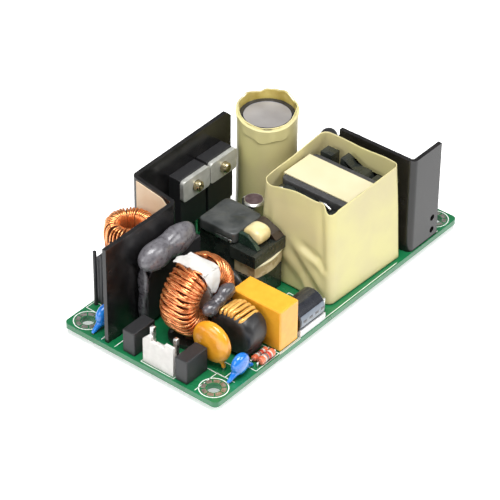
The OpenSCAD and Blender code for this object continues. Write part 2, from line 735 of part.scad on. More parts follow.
module inlet_header() {
    y0 = inlet_y - inlet_w/2;
    color("ivory") difference() {
        union() {
            translate([inlet_x0, y0, zb]) cube([inlet_base_l, inlet_w, inlet_base_h]);
            translate([inlet_x0 + 1, 0, 0]) rotate([90, 0, -90]) linear_extrude(1) polygon([
                [-y0, zb], [-y0, zb + inlet_h], [-y0 - inlet_w + 1.6, zb + inlet_h],
                [-y0 - inlet_w, zb + inlet_h - 1.6], [-y0 - inlet_w, zb]]);
        }
        for (p = INLET_PINS) translate([p[0], p[1], zb + 4])
            cube([inlet_pin_w + 0.04, inlet_pin_w + 0.04, 10], center = true);
        translate([inlet_x0 - 1, inlet_y - 2.2, zb + inlet_h - 1.4]) cube([3, 4.4, 3]);
    }
}

module header_pins(list, h) {
    color("silver") for (w = list) translate([w[0], w[1], 0]) intersection() {
        translate([0, 0, h/2]) cube([inlet_pin_w, inlet_pin_w, h], center = true);
        translate([0, 0, h - 30]) rotate(45) cylinder(r1 = 30, r2 = 0.55, h = 30, $fn = 4);
    }
}

module inlet_pins() { header_pins(INLET_PINS, zb + inlet_pin_h); }

// ---- common mode choke ----

module common_mode_base() {
    color("black") translate([cm_x, cm_y, zb]) difference() {
        union() {
            slab(cm_base_l, cm_base_w, cm_base_t, 4.5);
            translate([0, 0, cm_base_t - eps]) slab(2.6, cm_core_h, cm_z - cm_core_d/2 - zb - cm_base_t
                + 0.25, 0.4);
        }
        translate([0, 0, cm_z - zb]) rotate([90, 0, 0])
            cylinder(d = cm_core_d + fit, h = cm_base_w + 2, center = true, $fn = 96);
        for (w = CM_LEADS) translate([w[0] - cm_x, w[1] - cm_y, -1])
            cylinder(r = w[2] + lead_gap, h = cm_base_t + 2, $fn = 24);
    }
}

module on_cm_axis() {
    translate([cm_x, cm_y, cm_z]) rotate([90, 0, 0]) children();
}

module common_mode_core() {
    color([0.2, 0.2, 0.22]) on_cm_axis() translate([0, 0, -cm_core_h/2])
        ring(cm_core_d/2, cm_core_bore/2, cm_core_h);
}

module cm_winding(a0, a1) {
    color([0.78, 0.45, 0.32]) on_cm_axis() ring_winding(cm_core_bore/2, cm_core_d/2, cm_core_h,
        cm_build, cm_turns, cm_wire*0.22, a0, a1);
}

module common_mode_near_winding() { cm_winding(90 + cm_bare, 270 - cm_bare); }
module common_mode_far_winding() { cm_winding(-90 + cm_bare, 90 - cm_bare); }

// Clip over the bare top of the ring: a wedge between the windings, with a web through the bore
module common_mode_separator() {
    low = 1.2;
    top = cm_r - 1.5;
    slope = tan(cm_bare) - 0.012;
    color("white") on_cm_axis() difference() {
        union() {
            translate([0, 0, -cm_reach]) linear_extrude(2*cm_reach) polygon([[-low*slope, low],
                [low*slope, low], [top*slope, top], [-top*slope, top]]);
            translate([-0.25, -cm_core_bore/2 + fit, -cm_reach])
                cube([0.5, cm_core_bore/2 + low, 2*cm_reach]);
        }
        ring_body_gap();
    }
}

module ring_body_gap() {
    translate([0, 0, -cm_core_h/2 - fit]) ring(cm_core_d/2 + fit, cm_core_bore/2 - fit,
        cm_core_h + 2*fit);
}

// ---- sleeved choke ----

module on_sc_axis() {
    translate([sc_x, sc_y, sc_z]) rotate([0, 90, 0]) children();
}

module sleeved_choke_core() {
    h = sc_t - 2*sc_build;
    color([0.3, 0.3, 0.3]) on_sc_axis() translate([0, 0, -h/2]) ring(sc_d/2 - sc_build, 2.5, h);
}

module sleeved_choke_winding() {
    color([0.85, 0.6, 0.25]) on_sc_axis() ring_winding(2.5, sc_d/2 - sc_build, sc_t - 2*sc_build,
        sc_build, 20, 0.16, 14, 346);
}

// Shrunk sleeve: it follows the ring, drawn in over the foot and the shoulders, open on top
module sleeved_choke_sleeve() {
    r = sc_d/2;
    function half(z) = sqrt(max(0, r*r - pow(z - sc_z, 2))) + 2*fit;
    zs = [for (a = [-48:12:48]) sc_z + r*sin(a)*(a < 0 ? 1.15 : 1)];
    function at(z, g) = [for (p = round_rect(sc_t + 2*fit + 2*g, 2*half(z) + 2*g, 1.3 + g, 3))
        [sc_x + p[0], sc_y + p[1], z]];
    color([0.13, 0.13, 0.13]) wall_of(concat([for (z = zs) at(z, sc_wall)],
        [for (i = [len(zs) - 1:-1:0]) at(zs[i], 0)]));
}

// ---- yellow film capacitor ----

module yellow_film_capacitor() {
    color([1, 0.75, 0.2]) translate([xcap_x0 + xcap_l/2, xcap_y0 + xcap_w/2, zb]) difference() {
        soft_box(xcap_l, xcap_w, xcap_h, 0.7);
        cube([xcap_l + 2, xcap_w - 2.4, 0.8], center = true);
    }
}

module axial_resistors() {
    color([0.85, 0.35, 0.15]) for (i = [0, 1]) translate([res_x, res_y[i], zb + res_r[i] + 0.05])
        rotate([0, 90, 0]) disc_body(res_r[i], res_l);
}

// Dog-bone body of an axial part
module disc_body(r, l) {
    rotate_extrude($fn = 32) polygon(concat([[0, -l/2]], arc(r - 0.4, -l/2 + 0.4, 0.4, -90, 0, 3),
        [[r, -l/2 + 1.1], [r - 0.15, -l/2 + 1.5], [r - 0.15, l/2 - 1.5], [r, l/2 - 1.1]],
        arc(r - 0.4, l/2 - 0.4, 0.4, 0, 90, 3), [[0, l/2]]));
}

// ---- lying capacitor ----

// Can of an electrolytic capacitor: rolled groove near its seal and a crimped end
module can(d, h) {
    r = d/2;
    rotate_extrude($fn = 64) polygon([[0, 0], [r - 0.9, 0], [r - 0.9, 0.3], [r - 0.5, 0.3], [r, 0.7],
        [r, 1.5], [r - 0.35, 1.9], [r, 2.3], [r, h - 0.5], [r - 0.5, h], [0, h]]);
}

// Its printed sleeve, lapped over the rim of the can
module can_sleeve(d, h, t, lap) {
    r = d/2;
    rotate_extrude($fn = 64) polygon([[r + fit/5, 0.9], [r + t, 0.9], [r + t, h], [r + t - 0.4, h + t],
        [r - lap, h + t], [r - lap, h + fit/5], [r - 0.4, h + fit/5], [r + fit/5, h - 0.4]]);
}

module on_lay_axis() {
    translate([lay_x0 + lay_l, lay_y, lay_z]) rotate([0, -90, 0]) children();
}

module lying_capacitor() {
    color("silver") on_lay_axis() can(lay_d - 2*sleeve_t, lay_l - sleeve_t);
}

module lying_capacitor_sleeve() {
    color([0.12, 0.12, 0.15]) on_lay_axis()
        can_sleeve(lay_d - 2*sleeve_t, lay_l - sleeve_t, sleeve_t, 1);
}

module capacitor_adhesive() {
    color("white") difference() {
        translate([lay_x0 + 0.2, -edge_y + 0.3, zb]) cube([lay_l - 0.6, lay_d/2 + 1.4, 2]);
        on_lay_axis() translate([0, 0, -2]) cylinder(d = lay_d + 2*fit, h = lay_l + 6, $fn = 64);
    }
}

// ---- boost inductor ----

module boost_core() {
    color([0.2, 0.2, 0.21]) difference() {
        translate([bi_x0, bi_y0, bi_bar_z[1] + fit]) cube([bi_l, bi_w, bi_top - bi_bar_z[1] - fit]);
        translate([bi_x0 - 1, bi_y0 + 2, bi_bar_z[1] - 1]) cube([1.8, 3.4, 3]);
    }
}

module boost_bobbin() {
    color([0.14, 0.15, 0.14]) difference() {
        union() {
            translate([bi_x0 - 0.4, bi_bar_y, zb]) cube([bi_base_x1 - bi_x0 + 0.4,
                bi_y1 - bi_bar_y - 0.4, bi_base_h]);
            translate([bi_x0 + 0.5, bi_y0, zb]) cube([bi_l - 2.2, bi_w - 0.4, bi_bar_z[1] - zb]);
            translate([bi_x0 - 0.5, bi_bar_y, bi_bar_z[0]]) cube([bi_l + 0.5, -bi_bar_y + bi_y0 + 1,
                bi_bar_z[1] - bi_bar_z[0]]);
        }
        for (w = BI_PINS) translate([w[0], w[1], zb - 1]) cylinder(r = w[2] + fit, h = 4, $fn = 24);
    }
}

// Taped roll of the winding, lying on the bobbin's terminal bar
module boost_winding() {
    r = 2.9;
    color([0.92, 0.85, 0.45]) difference() {
        hull() for (y = [bi_y0 - r, bi_y0 - 0.2]) translate([bi_x0 + 3.2, y, bi_bar_z[1] + 0.2 + r/2])
            rotate([0, 90, 0]) cylinder(r = r, h = 5.2, $fn = 32);
        translate([bi_x0 - 5, bi_bar_y - 5, bi_bar_z[0] - 5]) cube([30, 30, bi_bar_z[1] - bi_bar_z[0] + 5
            + fit]);
        translate([bi_x0 - 5, bi_y0 - fit, bi_bar_z[0] - 5]) cube([30, 30, 30]);
    }
}

// Tape round the bobbin below the bar, bulging towards the near edge
module boost_tape() {
    z0 = zb + bi_base_h + fit;
    z1 = bi_bar_z[0] - fit;
    x0 = bi_x0 + 0.2;
    x1 = bi_x1 - 0.6;
    color([0.85, 0.72, 0.5]) translate([0, 0, z0]) linear_extrude(z1 - z0) polygon(concat(
        [for (i = [0:8]) [x0 + (x1 - x0)*i/8, bi_bar_y + 0.6 - 0.9*sin(180*i/8)]],
        [[x1, bi_y0 - fit], [x0, bi_y0 - fit]]));
}

// ---- standing capacitors ----

module control_capacitor() {
    color([0.3, 0.2, 0.3]) translate([ctl_at[0], ctl_at[1], zb]) can(ctl_d, ctl_h);
}

module on_bulk() {
    translate([bulk_x, bulk_y, zb + bulk_lift]) children();
}

module bulk_capacitor() {
    color("silver") on_bulk() translate([0, 0, -bulk_lift]) can(bulk_d - 2*sleeve_t, bulk_h + bulk_lift);
}

module bulk_capacitor_sleeve() {
    color([0.2, 0.22, 0.2]) on_bulk() translate([0, 0, -bulk_lift])
        can_sleeve(bulk_d - 2*sleeve_t, bulk_h + bulk_lift, sleeve_t, 1.4);
}

// Tape round the capacitor: it stands up past the rim at the far side and is tucked lower in front
module bulk_capacitor_tape() {
    n = 40;
    ri = bulk_d/2 + fit/2;
    ro = bulk_d/2 + bulk_tape_t;
    function rim(a) = bulk_top + 1 + 2.1*cos(a - 55) + 0.35*sin(5*a);
    function at(r, low) = [for (i = [0:n - 1]) let (a = 360*i/n)
        [bulk_x + r*cos(a), bulk_y + r*sin(a), low ? zb + 0.5 : rim(a)]];
    color([0.93, 0.9, 0.6]) wall_of([at(ro, true), at(ro, false), at(ri, false), at(ri, true)]);
}

// ---- main transformer ----

module transformer_core() {
    color([0.22, 0.22, 0.23]) translate([tr_x, tr_y, tr_core_z]) {
        difference() {
            slab(tr_core_l, tr_core_w, tr_core_h, 1.4, 3);
            translate([0, 0, tr_plate]) cylinder(d = tr_window_d, h = tr_core_h - 2*tr_plate, $fn = 96);
        }
        translate([0, 0, tr_plate - eps]) cylinder(d = tr_leg_d, h = tr_core_h - 2*tr_plate + 2*eps,
            $fn = 64);
    }
}

module transformer_bobbin() {
    z0 = tr_core_z + tr_plate + fit;
    h = tr_core_h - 2*tr_plate - 2*fit;
    bore = tr_leg_d/2 + fit;
    side = 7;
    color([0.12, 0.12, 0.12]) translate([tr_x, tr_y, z0]) difference() {
        union() {
            cylinder(r = bore + tr_tube_t, h = h, $fn = 64);
            for (z = [0, h - tr_flange_t]) translate([0, 0, z]) {
                cylinder(d = tr_window_d - 2*fit, h = tr_flange_t, $fn = 96);
                translate([-tr_bobbin_l/2, -side/2, 0]) cube([tr_bobbin_l, side, tr_flange_t]);
            }
            for (s = [-1, 1]) translate([s*tr_pin_x, 0, 0]) {
                translate([-1.3, -tr_core_w/2 + 0.6, zb - z0]) cube([2.6, tr_core_w - 1.2,
                    tr_core_z - zb + 1.8]);
                translate([-1.3, -side/2, zb - z0]) cube([2.6, side, z0 - zb + tr_flange_t]);
                translate([-1.3, -side/2, h - 3.6]) cube([2.6, side, 3.6]);
            }
        }
        translate([0, 0, -1]) cylinder(r = bore, h = h + 2, $fn = 64);
        for (w = TR_PINS) translate([w[0] - tr_x, w[1] - tr_y, zb - z0 - 1])
            cylinder(r = w[2] + 0.02, h = 4, $fn = 24);
    }
}

module transformer_winding() {
    z0 = tr_core_z + tr_plate + 2*fit + tr_flange_t;
    h = tr_core_h - 2*tr_plate - 4*fit - 2*tr_flange_t;
    color([0.9, 0.85, 0.5]) translate([tr_x, tr_y, z0])
        ring(tr_window_d/2 - 2*fit - 0.3, tr_leg_d/2 + 2*fit + tr_tube_t, h);
}

module transformer_pins() {
    color("silver") wires(TR_PINS, zb + 3);
}

// Tape over the top of the core and down its two ends
module transformer_band() {
    t = tr_tape_t;
    w = tr_core_w + 2*fit;
    drop = 14;
    color([0.93, 0.91, 0.66]) translate([tr_x - tr_band_w/2, tr_y, tr_core_top + fit]) difference() {
        translate([0, -w/2 - t, -drop]) cube([tr_band_w, w + 2*t, drop + t]);
        translate([-1, -w/2, -drop - 1]) cube([tr_band_w + 2, w, drop + 1]);
    }
}

// Loose tape sheath: square at the foot, its mains side leaning in, the rim higher at the output side
module transformer_sheath() {
    x0 = tr_x - tr_l/2;
    x1 = tr_x + tr_l/2;
    y0 = tr_y - tr_w/2;
    y1 = tr_y + tr_w/2;
    low = tr_core_top + 1.3;
    high = tr_core_top + 3.6;
    foot = [[x0 - 2.3, y0 + 0.1], [x1 + 1.2, y0 - 0.9], [x1 + 0.6, y1], [x0 - 1.8, y1]];
    rim = [[x0 - 0.2, y0 + 1.5, low], [x1, y0 + 0.2, high], [x1, y1, high], [x0 + 0.4, y1 - 0.2, low]];
    inward = [[1, 1], [-1, 1], [-1, -1], [1, -1]];
    z0 = zb + 0.3;
    levels = 6;
    function level(t, g) = soft_corners([for (k = [0:3])
        let (p = foot[k]*(1 - t) + [rim[k][0], rim[k][1]]*t + inward[k]*g)
        [p[0], p[1], z0 + (rim[k][2] - z0)*t]], 2.2, 4);
    color([0.93, 0.91, 0.66]) wall_of(concat([for (i = [0:levels]) level(i/levels, 0)],
        [for (i = [levels:-1:0]) level(i/levels, tr_wall)]));
}

// ---- output side ----

module output_capacitors() {
    color("silver") for (c = out_at) translate([c[0], c[1], zb]) can(out_d - 2*sleeve_t, c[2]);
}

module output_capacitor_sleeves() {
    color([0.15, 0.16, 0.2]) for (c = out_at) translate([c[0], c[1], zb])
        can_sleeve(out_d - 2*sleeve_t, c[2], sleeve_t, 0.9);
}

// Choke wound on a rod, in a shrunk sleeve with a domed end
module rod_choke() {
    r = rod_d/2;
    color([0.1, 0.1, 0.1]) translate([rod_at[0], rod_at[1], zb]) rotate_extrude($fn = 48)
        polygon(concat([[0, 0]], arc(r - 0.6, 0.6, 0.6, -90, 0, 3), arc(0, rod_h - r, r, 0, 84, 6),
            [[0, rod_h]]));
}

module output_header() {
    w = (out_pins - 1)*out_pitch + 4;
    color("ivory") difference() {
        union() {
            translate([out_x - out_w/2, out_y - w/2, zb]) cube([out_w, w, out_base_h]);
            translate([out_x - out_w/2, out_y - w/2, zb]) cube([1, w, out_wall_h]);
        }
        for (p = OUT_PINS) translate([p[0], p[1], zb + 4])
            cube([inlet_pin_w + 0.04, inlet_pin_w + 0.04, 10], center = true);
    }
}

module output_pins() { header_pins(OUT_PINS, zb + inlet_pin_h); }

module optocouplers() {
    color([0.1, 0.1, 0.1]) for (c = opto_at) translate([c[0] - opto_l/2 - 0.6, c[1] - opto_w/2, zb + 0.4])
        cube([opto_l + 1.2, opto_w, opto_h]);
}

// ---- small parts on the underside ----

CHIPS = [[-5, 3, 0], [25.5, 6.5, 90]];

module controller_chips() {
    color([0.1, 0.1, 0.1]) for (c = CHIPS) translate([c[0], c[1], 0]) rotate(c[2])
        translate([-2.45, -1.95, -1.5]) cube([4.9, 3.9, 1.5]);
}

module chip_resistors() {
    color([0.15, 0.15, 0.15]) for (c = CHIPS) for (i = [-2:2]) translate([c[0], c[1], 0]) rotate(c[2])
        translate([i*1.9 - 0.6, -4.3, -0.5]) cube([1.2, 0.8, 0.5]);
}

// ---- wires from each part down through the board ----

// Wire along x out of a body's end, bent down to its hole
module bent_wire(x0, hole, z) {
    s = sign(hole[0] - x0);
    r = hole[2];
    color("silver") {
        translate([x0, hole[1], z]) rotate([0, s*90, 0])
            cylinder(r = r, h = abs(hole[0] - x0), $fn = 24);
        translate([hole[0], hole[1], z]) sphere(r, $fn = 24);
        translate([hole[0], hole[1], 0]) cylinder(r = r, h = z, $fn = 24);
    }
}

module component_leads() {
    color("silver") {
        for (i = [0:len(WIRES) - 1]) difference() {
            wires([WIRES[i]], WIRE_TOP[i]);
            lead_ends();
        }
        wires(concat(XCAP_LEADS, GCAP_LEADS), zb + 0.4);
        wires(FUSE_LEADS, zb);
        wires(concat(BULK_LEADS, CTL_LEADS, OUT_LEADS, ROD_LEADS), zb);
        wires(CM_LEADS, zb + cm_base_t);
        wires(SC_LEADS, zb + 1.4);
        wires(BI_PINS, zb + 3);
        legs(OPTO_LEGS, zb + 1.5);
        for (i = [0, 1]) for (k = [0, 1]) bent_wire(res_x + (k == 0 ? -1 : 1)*res_l/2,
            RES_LEADS[2*i + k], zb + res_r[i] + 0.05);
        for (w = LAY_LEADS) bent_wire(lay_x0 + lay_l, w, lay_z);
    }
}

// Space taken by the coated discs that the wires run into
module lead_ends() {
    translate([mov_x, mov_y, mov_z]) rotate([0, 90, 0]) disc(mov_d, mov_t, 1.6);
    for (at = [ycap_left, ycap_near]) translate([at[0], at[1], ycap_z]) rotate([90, 0, 0])
        disc(ycap_d, ycap_t, 1.4);
    translate([ntc_x, ntc_y, ntc_z]) rotate([0, 90, 0]) disc(ntc_d, ntc_t, 1.2);
}

circuit_board();
solder_joints();
primary_heat_sink();
secondary_heat_sink();
heat_sink_tape();
transistor_bodies();
transistor_legs();
clamp_plates();
clamp_screws();
rectifier_bodies();
rectifier_legs();
bridge_rectifier();
bridge_legs();
silicone_beads();
grey_film_capacitor();
toroid_core();
toroid_winding();
toroid_leads();
disc_capacitors();
varistor();
thermistor();
fuses();
inlet_header();
inlet_pins();
common_mode_base();
common_mode_core();
common_mode_near_winding();
common_mode_far_winding();
common_mode_separator();
sleeved_choke_core();
sleeved_choke_winding();
sleeved_choke_sleeve();
yellow_film_capacitor();
axial_resistors();
lying_capacitor();
lying_capacitor_sleeve();
capacitor_adhesive();
boost_core();
boost_bobbin();
boost_winding();
boost_tape();
control_capacitor();
bulk_capacitor();
bulk_capacitor_sleeve();
bulk_capacitor_tape();
transformer_core();
transformer_bobbin();
transformer_winding();
transformer_pins();
transformer_band();
transformer_sheath();
output_capacitors();
output_capacitor_sleeves();
rod_choke();
output_header();
output_pins();
optocouplers();
controller_chips();
chip_resistors();
component_leads();
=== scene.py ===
# %% [markdown]
# # Dressing an open frame power supply
#
# The frame that is loaded here holds every part of the supply as a plain solid at its real size.
# These cells give each part its finish, and replace the plainest ones with worked surfaces: wound
# wire, loose tape, silicone and dipped coatings. The outlines printed on the board are added.
# All sizes in the cells are millimetres, and one factor turns them into Blender's metres.

# %% Tools, units and the frame
import math

import bmesh
import bpy
import numpy as np
from mathutils import Matrix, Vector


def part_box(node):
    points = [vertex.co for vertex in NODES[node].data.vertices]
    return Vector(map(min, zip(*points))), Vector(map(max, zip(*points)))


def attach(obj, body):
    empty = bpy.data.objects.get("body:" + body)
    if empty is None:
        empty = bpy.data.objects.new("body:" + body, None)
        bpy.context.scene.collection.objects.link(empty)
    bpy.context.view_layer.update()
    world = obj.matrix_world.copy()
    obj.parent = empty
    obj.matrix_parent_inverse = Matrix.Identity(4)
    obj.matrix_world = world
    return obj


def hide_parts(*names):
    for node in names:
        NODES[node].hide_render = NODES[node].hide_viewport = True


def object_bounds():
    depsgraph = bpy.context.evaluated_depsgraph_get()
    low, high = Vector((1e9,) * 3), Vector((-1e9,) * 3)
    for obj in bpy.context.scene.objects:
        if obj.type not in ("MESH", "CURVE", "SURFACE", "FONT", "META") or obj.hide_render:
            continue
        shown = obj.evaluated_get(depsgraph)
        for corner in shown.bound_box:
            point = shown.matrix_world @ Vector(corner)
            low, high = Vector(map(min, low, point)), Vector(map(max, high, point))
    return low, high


MM = 0.001
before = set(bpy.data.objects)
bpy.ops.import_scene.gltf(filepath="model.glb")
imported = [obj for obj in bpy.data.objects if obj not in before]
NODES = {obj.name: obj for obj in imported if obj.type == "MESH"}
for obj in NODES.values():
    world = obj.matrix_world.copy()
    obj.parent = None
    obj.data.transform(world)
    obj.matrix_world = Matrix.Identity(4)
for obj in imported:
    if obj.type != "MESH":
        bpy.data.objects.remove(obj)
cad_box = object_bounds()
scene = bpy.context.scene
print(len(NODES), "parts in the frame")

# %% [markdown]
# A part's box in the frame gives its place, so that a worked surface sits where its solid is.

# %% The box of a part, in millimetres


def box_of(node):
    """Lowest and highest corner of a part, as two numpy rows in millimetres."""
    low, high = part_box(node)
    return np.array(low) / MM, np.array(high) / MM


def middle_of(node):
    """The middle of a part's box and half of its three sizes, in millimetres."""
    low, high = box_of(node)
    return (low + high) / 2, (high - low) / 2


BOARD_LOW, BOARD_HIGH = box_of("circuit_board")
BOARD_TOP = BOARD_HIGH[2]
print("board", BOARD_HIGH - BOARD_LOW)

# %% [markdown]
# ## Putting a grid of points into a mesh
#
# Nearly every new piece is a grid: rows of points worked out by a formula, joined by quads. A row
# whose points coincide closes an end. Merging doubles then turns that row into a fan, and the
# normals are worked out afresh, because a formula may run round either way.

# %% From arrays to an object


def grid_faces(rows, cols, wrap_rows, wrap_cols, first):
    """Quads between neighbouring rows and columns of a grid, its points numbered row by row from
    first."""
    r = np.arange(rows if wrap_rows else rows - 1)
    c = np.arange(cols if wrap_cols else cols - 1)
    r0, c0 = np.meshgrid(r, c, indexing="ij")
    r1, c1 = (r0 + 1) % rows, (c0 + 1) % cols
    quads = np.stack([r0 * cols + c0, r0 * cols + c1, r1 * cols + c1, r1 * cols + c0], -1)
    return quads.reshape(-1, 4) + first


def piece(name, grids, material, stands_for=(), smooth=True):
    """One object from grids, each (points in millimetres, wrap rows, wrap columns)."""
    points, faces, first = [], [], 0
    for grid, wrap_rows, wrap_cols in grids:
        rows, cols = grid.shape[:2]
        points.append(grid.reshape(-1, 3) * MM)
        faces.append(grid_faces(rows, cols, wrap_rows, wrap_cols, first))
        first += rows * cols
    points, faces = np.concatenate(points), np.concatenate(faces)
    mesh = bpy.data.meshes.new(name)
    mesh.vertices.add(len(points))
    mesh.vertices.foreach_set("co", points.ravel())
    mesh.loops.add(faces.size)
    mesh.loops.foreach_set("vertex_index", faces.ravel())
    mesh.polygons.add(len(faces))
    mesh.polygons.foreach_set("loop_start", np.arange(len(faces)) * 4)
    mesh.polygons.foreach_set("loop_total", np.full(len(faces), 4))
    mesh.update(calc_edges=True)
    return finish_piece(name, mesh, material, stands_for, smooth)


def finish_piece(name, mesh, material, stands_for=(), smooth=True):
    """Merge doubles, face outwards, give it its finish and hang it on the frame."""
    work = bmesh.new()
    work.from_mesh(mesh)
    bmesh.ops.remove_doubles(work, verts=work.verts, dist=1e-7)
    bmesh.ops.recalc_face_normals(work, faces=work.faces)
    work.to_mesh(mesh)
    work.free()
    mesh.polygons.foreach_set("use_smooth", np.full(len(mesh.polygons), smooth))
    mesh.materials.append(material)
    obj = bpy.data.objects.new(name, mesh)
    scene.collection.objects.link(obj)
    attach(obj, "root")
    if stands_for:
        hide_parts(*stands_for)
    return obj


def closed_ends(grid):
    """The grid with a row at each end drawn in to that row's middle."""
    start = np.repeat(grid[:1].mean(1, keepdims=True), grid.shape[1], 1)
    end = np.repeat(grid[-1:].mean(1, keepdims=True), grid.shape[1], 1)
    return np.concatenate([start, grid, end])


def raised(wave, power):
    """A sine or cosine raised to 2/power with its sign kept: at 2 a circle stays round, and above
    it the circle grows squarer."""
    return np.sign(wave) * np.abs(wave) ** (2 / power)


def tube(path, radius, beside, sides):
    """The grid of a round wire along path. beside is a direction per point that never lies along
    it: the ring at each point is radius * (n cos s + b sin s), with n and b square to the path."""
    path = np.asarray(path, float)
    along = np.gradient(path, axis=0)
    along /= np.linalg.norm(along, axis=1, keepdims=True)
    beside = np.broadcast_to(np.asarray(beside, float), path.shape)
    n = beside - (beside * along).sum(1, keepdims=True) * along
    n /= np.linalg.norm(n, axis=1, keepdims=True)
    b = np.cross(along, n)
    s = np.linspace(0, 2 * np.pi, sides, endpoint=False)
    r = np.broadcast_to(np.asarray(radius, float), len(path))[:, None, None]
    ring = n[:, None] * np.cos(s)[None, :, None] + b[:, None] * np.sin(s)[None, :, None]
    return closed_ends(path[:, None] + r * ring), False, True


print("grids, tubes and closed ends")

# %% [markdown]
# ## Finishes
#
# Every finish is a Principled surface with noise on the object's own coordinates. Noise shifts the
# colour a little, roughens the gloss unevenly and lifts the surface as a bump, which is what keeps
# a moulded or taped surface from looking like computer plastic.

# %% A finish from a few numbers


def bare_tree(owner):
    """What adds a node to a material or a world, and what links two, once its tree is empty."""
    owner.use_nodes = True
    owner.node_tree.nodes.clear()
    return owner.node_tree.nodes.new, owner.node_tree.links.new


def finish(name, colour, second=None, rough=0.5, metal=0.0, scale=400, bump=0.1, depth=0.05,
           coat=0.0, swing=0.15, detail=4, spread=(0.35, 0.65)):
    """A noise-mixed surface. colour and second blend over spread; rough is the roughness, which
    the noise moves by swing; metal and coat are shares; scale is features per metre; bump is the
    strength of the relief and depth its height in millimetres."""
    m = bpy.data.materials.new(name)
    new, link = bare_tree(m)
    out, shade = new("ShaderNodeOutputMaterial"), new("ShaderNodeBsdfPrincipled")
    link(shade.outputs[0], out.inputs[0])
    shade.inputs["Metallic"].default_value = metal
    shade.inputs["Coat Weight"].default_value = coat
    shade.inputs["Coat Roughness"].default_value = 0.12
    where, noise = new("ShaderNodeTexCoord"), new("ShaderNodeTexNoise")
    noise.inputs["Scale"].default_value = scale
    noise.inputs["Detail"].default_value = detail
    link(where.outputs["Object"], noise.inputs["Vector"])
    tint = new("ShaderNodeValToRGB")
    stops = tint.color_ramp.elements
    for stop, place, rgb in zip(stops, spread, (colour, second or colour)):
        stop.position, stop.color = place, (*rgb, 1)
    link(noise.outputs[0], tint.inputs[0])
    link(tint.outputs[0], shade.inputs["Base Color"])
    gloss = new("ShaderNodeMapRange")
    gloss.inputs["To Min"].default_value = max(0.03, rough - swing)
    gloss.inputs["To Max"].default_value = min(1, rough + swing)
    link(noise.outputs[0], gloss.inputs[0])
    link(gloss.outputs[0], shade.inputs["Roughness"])
    lift = new("ShaderNodeBump")
    lift.inputs["Strength"].default_value = bump
    lift.inputs["Distance"].default_value = depth * MM
    link(noise.outputs[0], lift.inputs["Height"])
    link(lift.outputs[0], shade.inputs["Normal"])
    return m


# name, colour, second colour, rough, metal, scale, bump, depth, coat, swing
ANODISED = finish(
    "black anodising", (0.006, 0.006, 0.0065), (0.014, 0.013, 0.013), 0.24, 0, 260, 0.05, 0.02, 0,
    0.08)
TAPE = finish(
    "polyester tape", (0.57, 0.5, 0.27), (0.65, 0.6, 0.27), 0.42, 0, 60, 0.12, 0.15, 0.12)
BAND_TAPE = finish(
    "pale yellow tape", (0.63, 0.57, 0.36), (0.67, 0.61, 0.41), 0.45, 0, 120, 0.08, 0.1)
# The tape's adhesive side in amber, partly real colour and partly painted shade: darker than the
# tape, for the inside of the collar.
AMBER_AND_PAINTED_SHADE = finish(
    "amber adhesive side and painted shade", (0.4, 0.29, 0.05), (0.58, 0.46, 0.13), 0.35, 0, 250, 0.3, 0.2, 0.3)
CREAM = finish("cream tape", (0.72, 0.56, 0.38), (0.78, 0.64, 0.47), 0.5, 0, 150)
MOULDING = finish(
    "moulding compound", (0.012, 0.012, 0.013), (0.022, 0.022, 0.024), 0.5, 0, 2500, 0.25, 0.02)
TINNED = finish("tinned wire", (0.62, 0.62, 0.61), (0.78, 0.78, 0.77), 0.3, 1, 900)
SOLDER = finish("solder", (0.6, 0.6, 0.6), (0.75, 0.75, 0.75), 0.28, 1, 1500, 0.2, 0.03)
PLATED = finish("plated steel", (0.5, 0.5, 0.46), (0.62, 0.62, 0.58), 0.42, 0.45, 500, 0.12, 0.03)
SCREW = finish("yellow passivated screw", (0.44, 0.36, 0.2), (0.66, 0.58, 0.38), 0.25, 1, 900)
GREY_CASE = finish(
    "grey capacitor case", (0.05, 0.052, 0.056), (0.075, 0.077, 0.083), 0.42, 0, 600, 0.1, 0.05,
    0.15)
FERRITE = finish("ferrite", (0.035, 0.035, 0.036), (0.06, 0.06, 0.062), 0.55, 0, 1800, 0.3, 0.03)
COPPER = finish(
    "enamelled copper", (0.8, 0.27, 0.07), (0.92, 0.4, 0.15), 0.24, 0.8, 500, 0.06, 0.02, 0.6,
    0.06)
# A darker copy of the copper, as painted shade: it stands for the dark gaps between turns and in
# the bores of the rings.
PAINTED_SHADE_COPPER = finish(
    "copper in painted shade", (0.1, 0.025, 0.008), (0.22, 0.06, 0.02), 0.4, 0.5, 900, 0.2)
BROWN_COPPER = finish(
    "brown enamelled copper", (0.62, 0.17, 0.045), (0.86, 0.34, 0.12), 0.25, 0.75, 420, 0.06, 0.02,
    0.6, 0.06)
CAN_LID = finish(
    "brushed can lid", (0.33, 0.31, 0.3), (0.42, 0.4, 0.39), 0.5, 0.35, 120, 0.05, 0.03)
STRIPE_WIRE = finish(
    "yellow enamelled copper", (0.7, 0.34, 0.06), (0.86, 0.5, 0.12), 0.3, 0.3, 500, 0.06, 0.02,
    0.5, 0.06)
SLEEVING = finish(
    "black sleeving", (0.012, 0.012, 0.013), (0.022, 0.022, 0.024), 0.42, 0, 700, 0.2)
BLUE = finish(
    "blue dipped coating", (0.01, 0.16, 0.62), (0.02, 0.22, 0.7), 0.14, 0, 300, 0.08, 0.1, 0.8,
    0.05)
ORANGE = finish(
    "orange dipped coating", (0.72, 0.28, 0.012), (0.84, 0.36, 0.02), 0.24, 0, 300, 0.1, 0.1, 0.6,
    0.08)
BLACK_DIP = finish(
    "black dipped coating", (0.02, 0.022, 0.02), (0.04, 0.042, 0.04), 0.3, 0, 400, 0.15, 0.08, 0.4)
IVORY = finish("ivory nylon", (0.62, 0.6, 0.57), (0.7, 0.68, 0.65), 0.42, 0, 500, 0.1, 0.03)
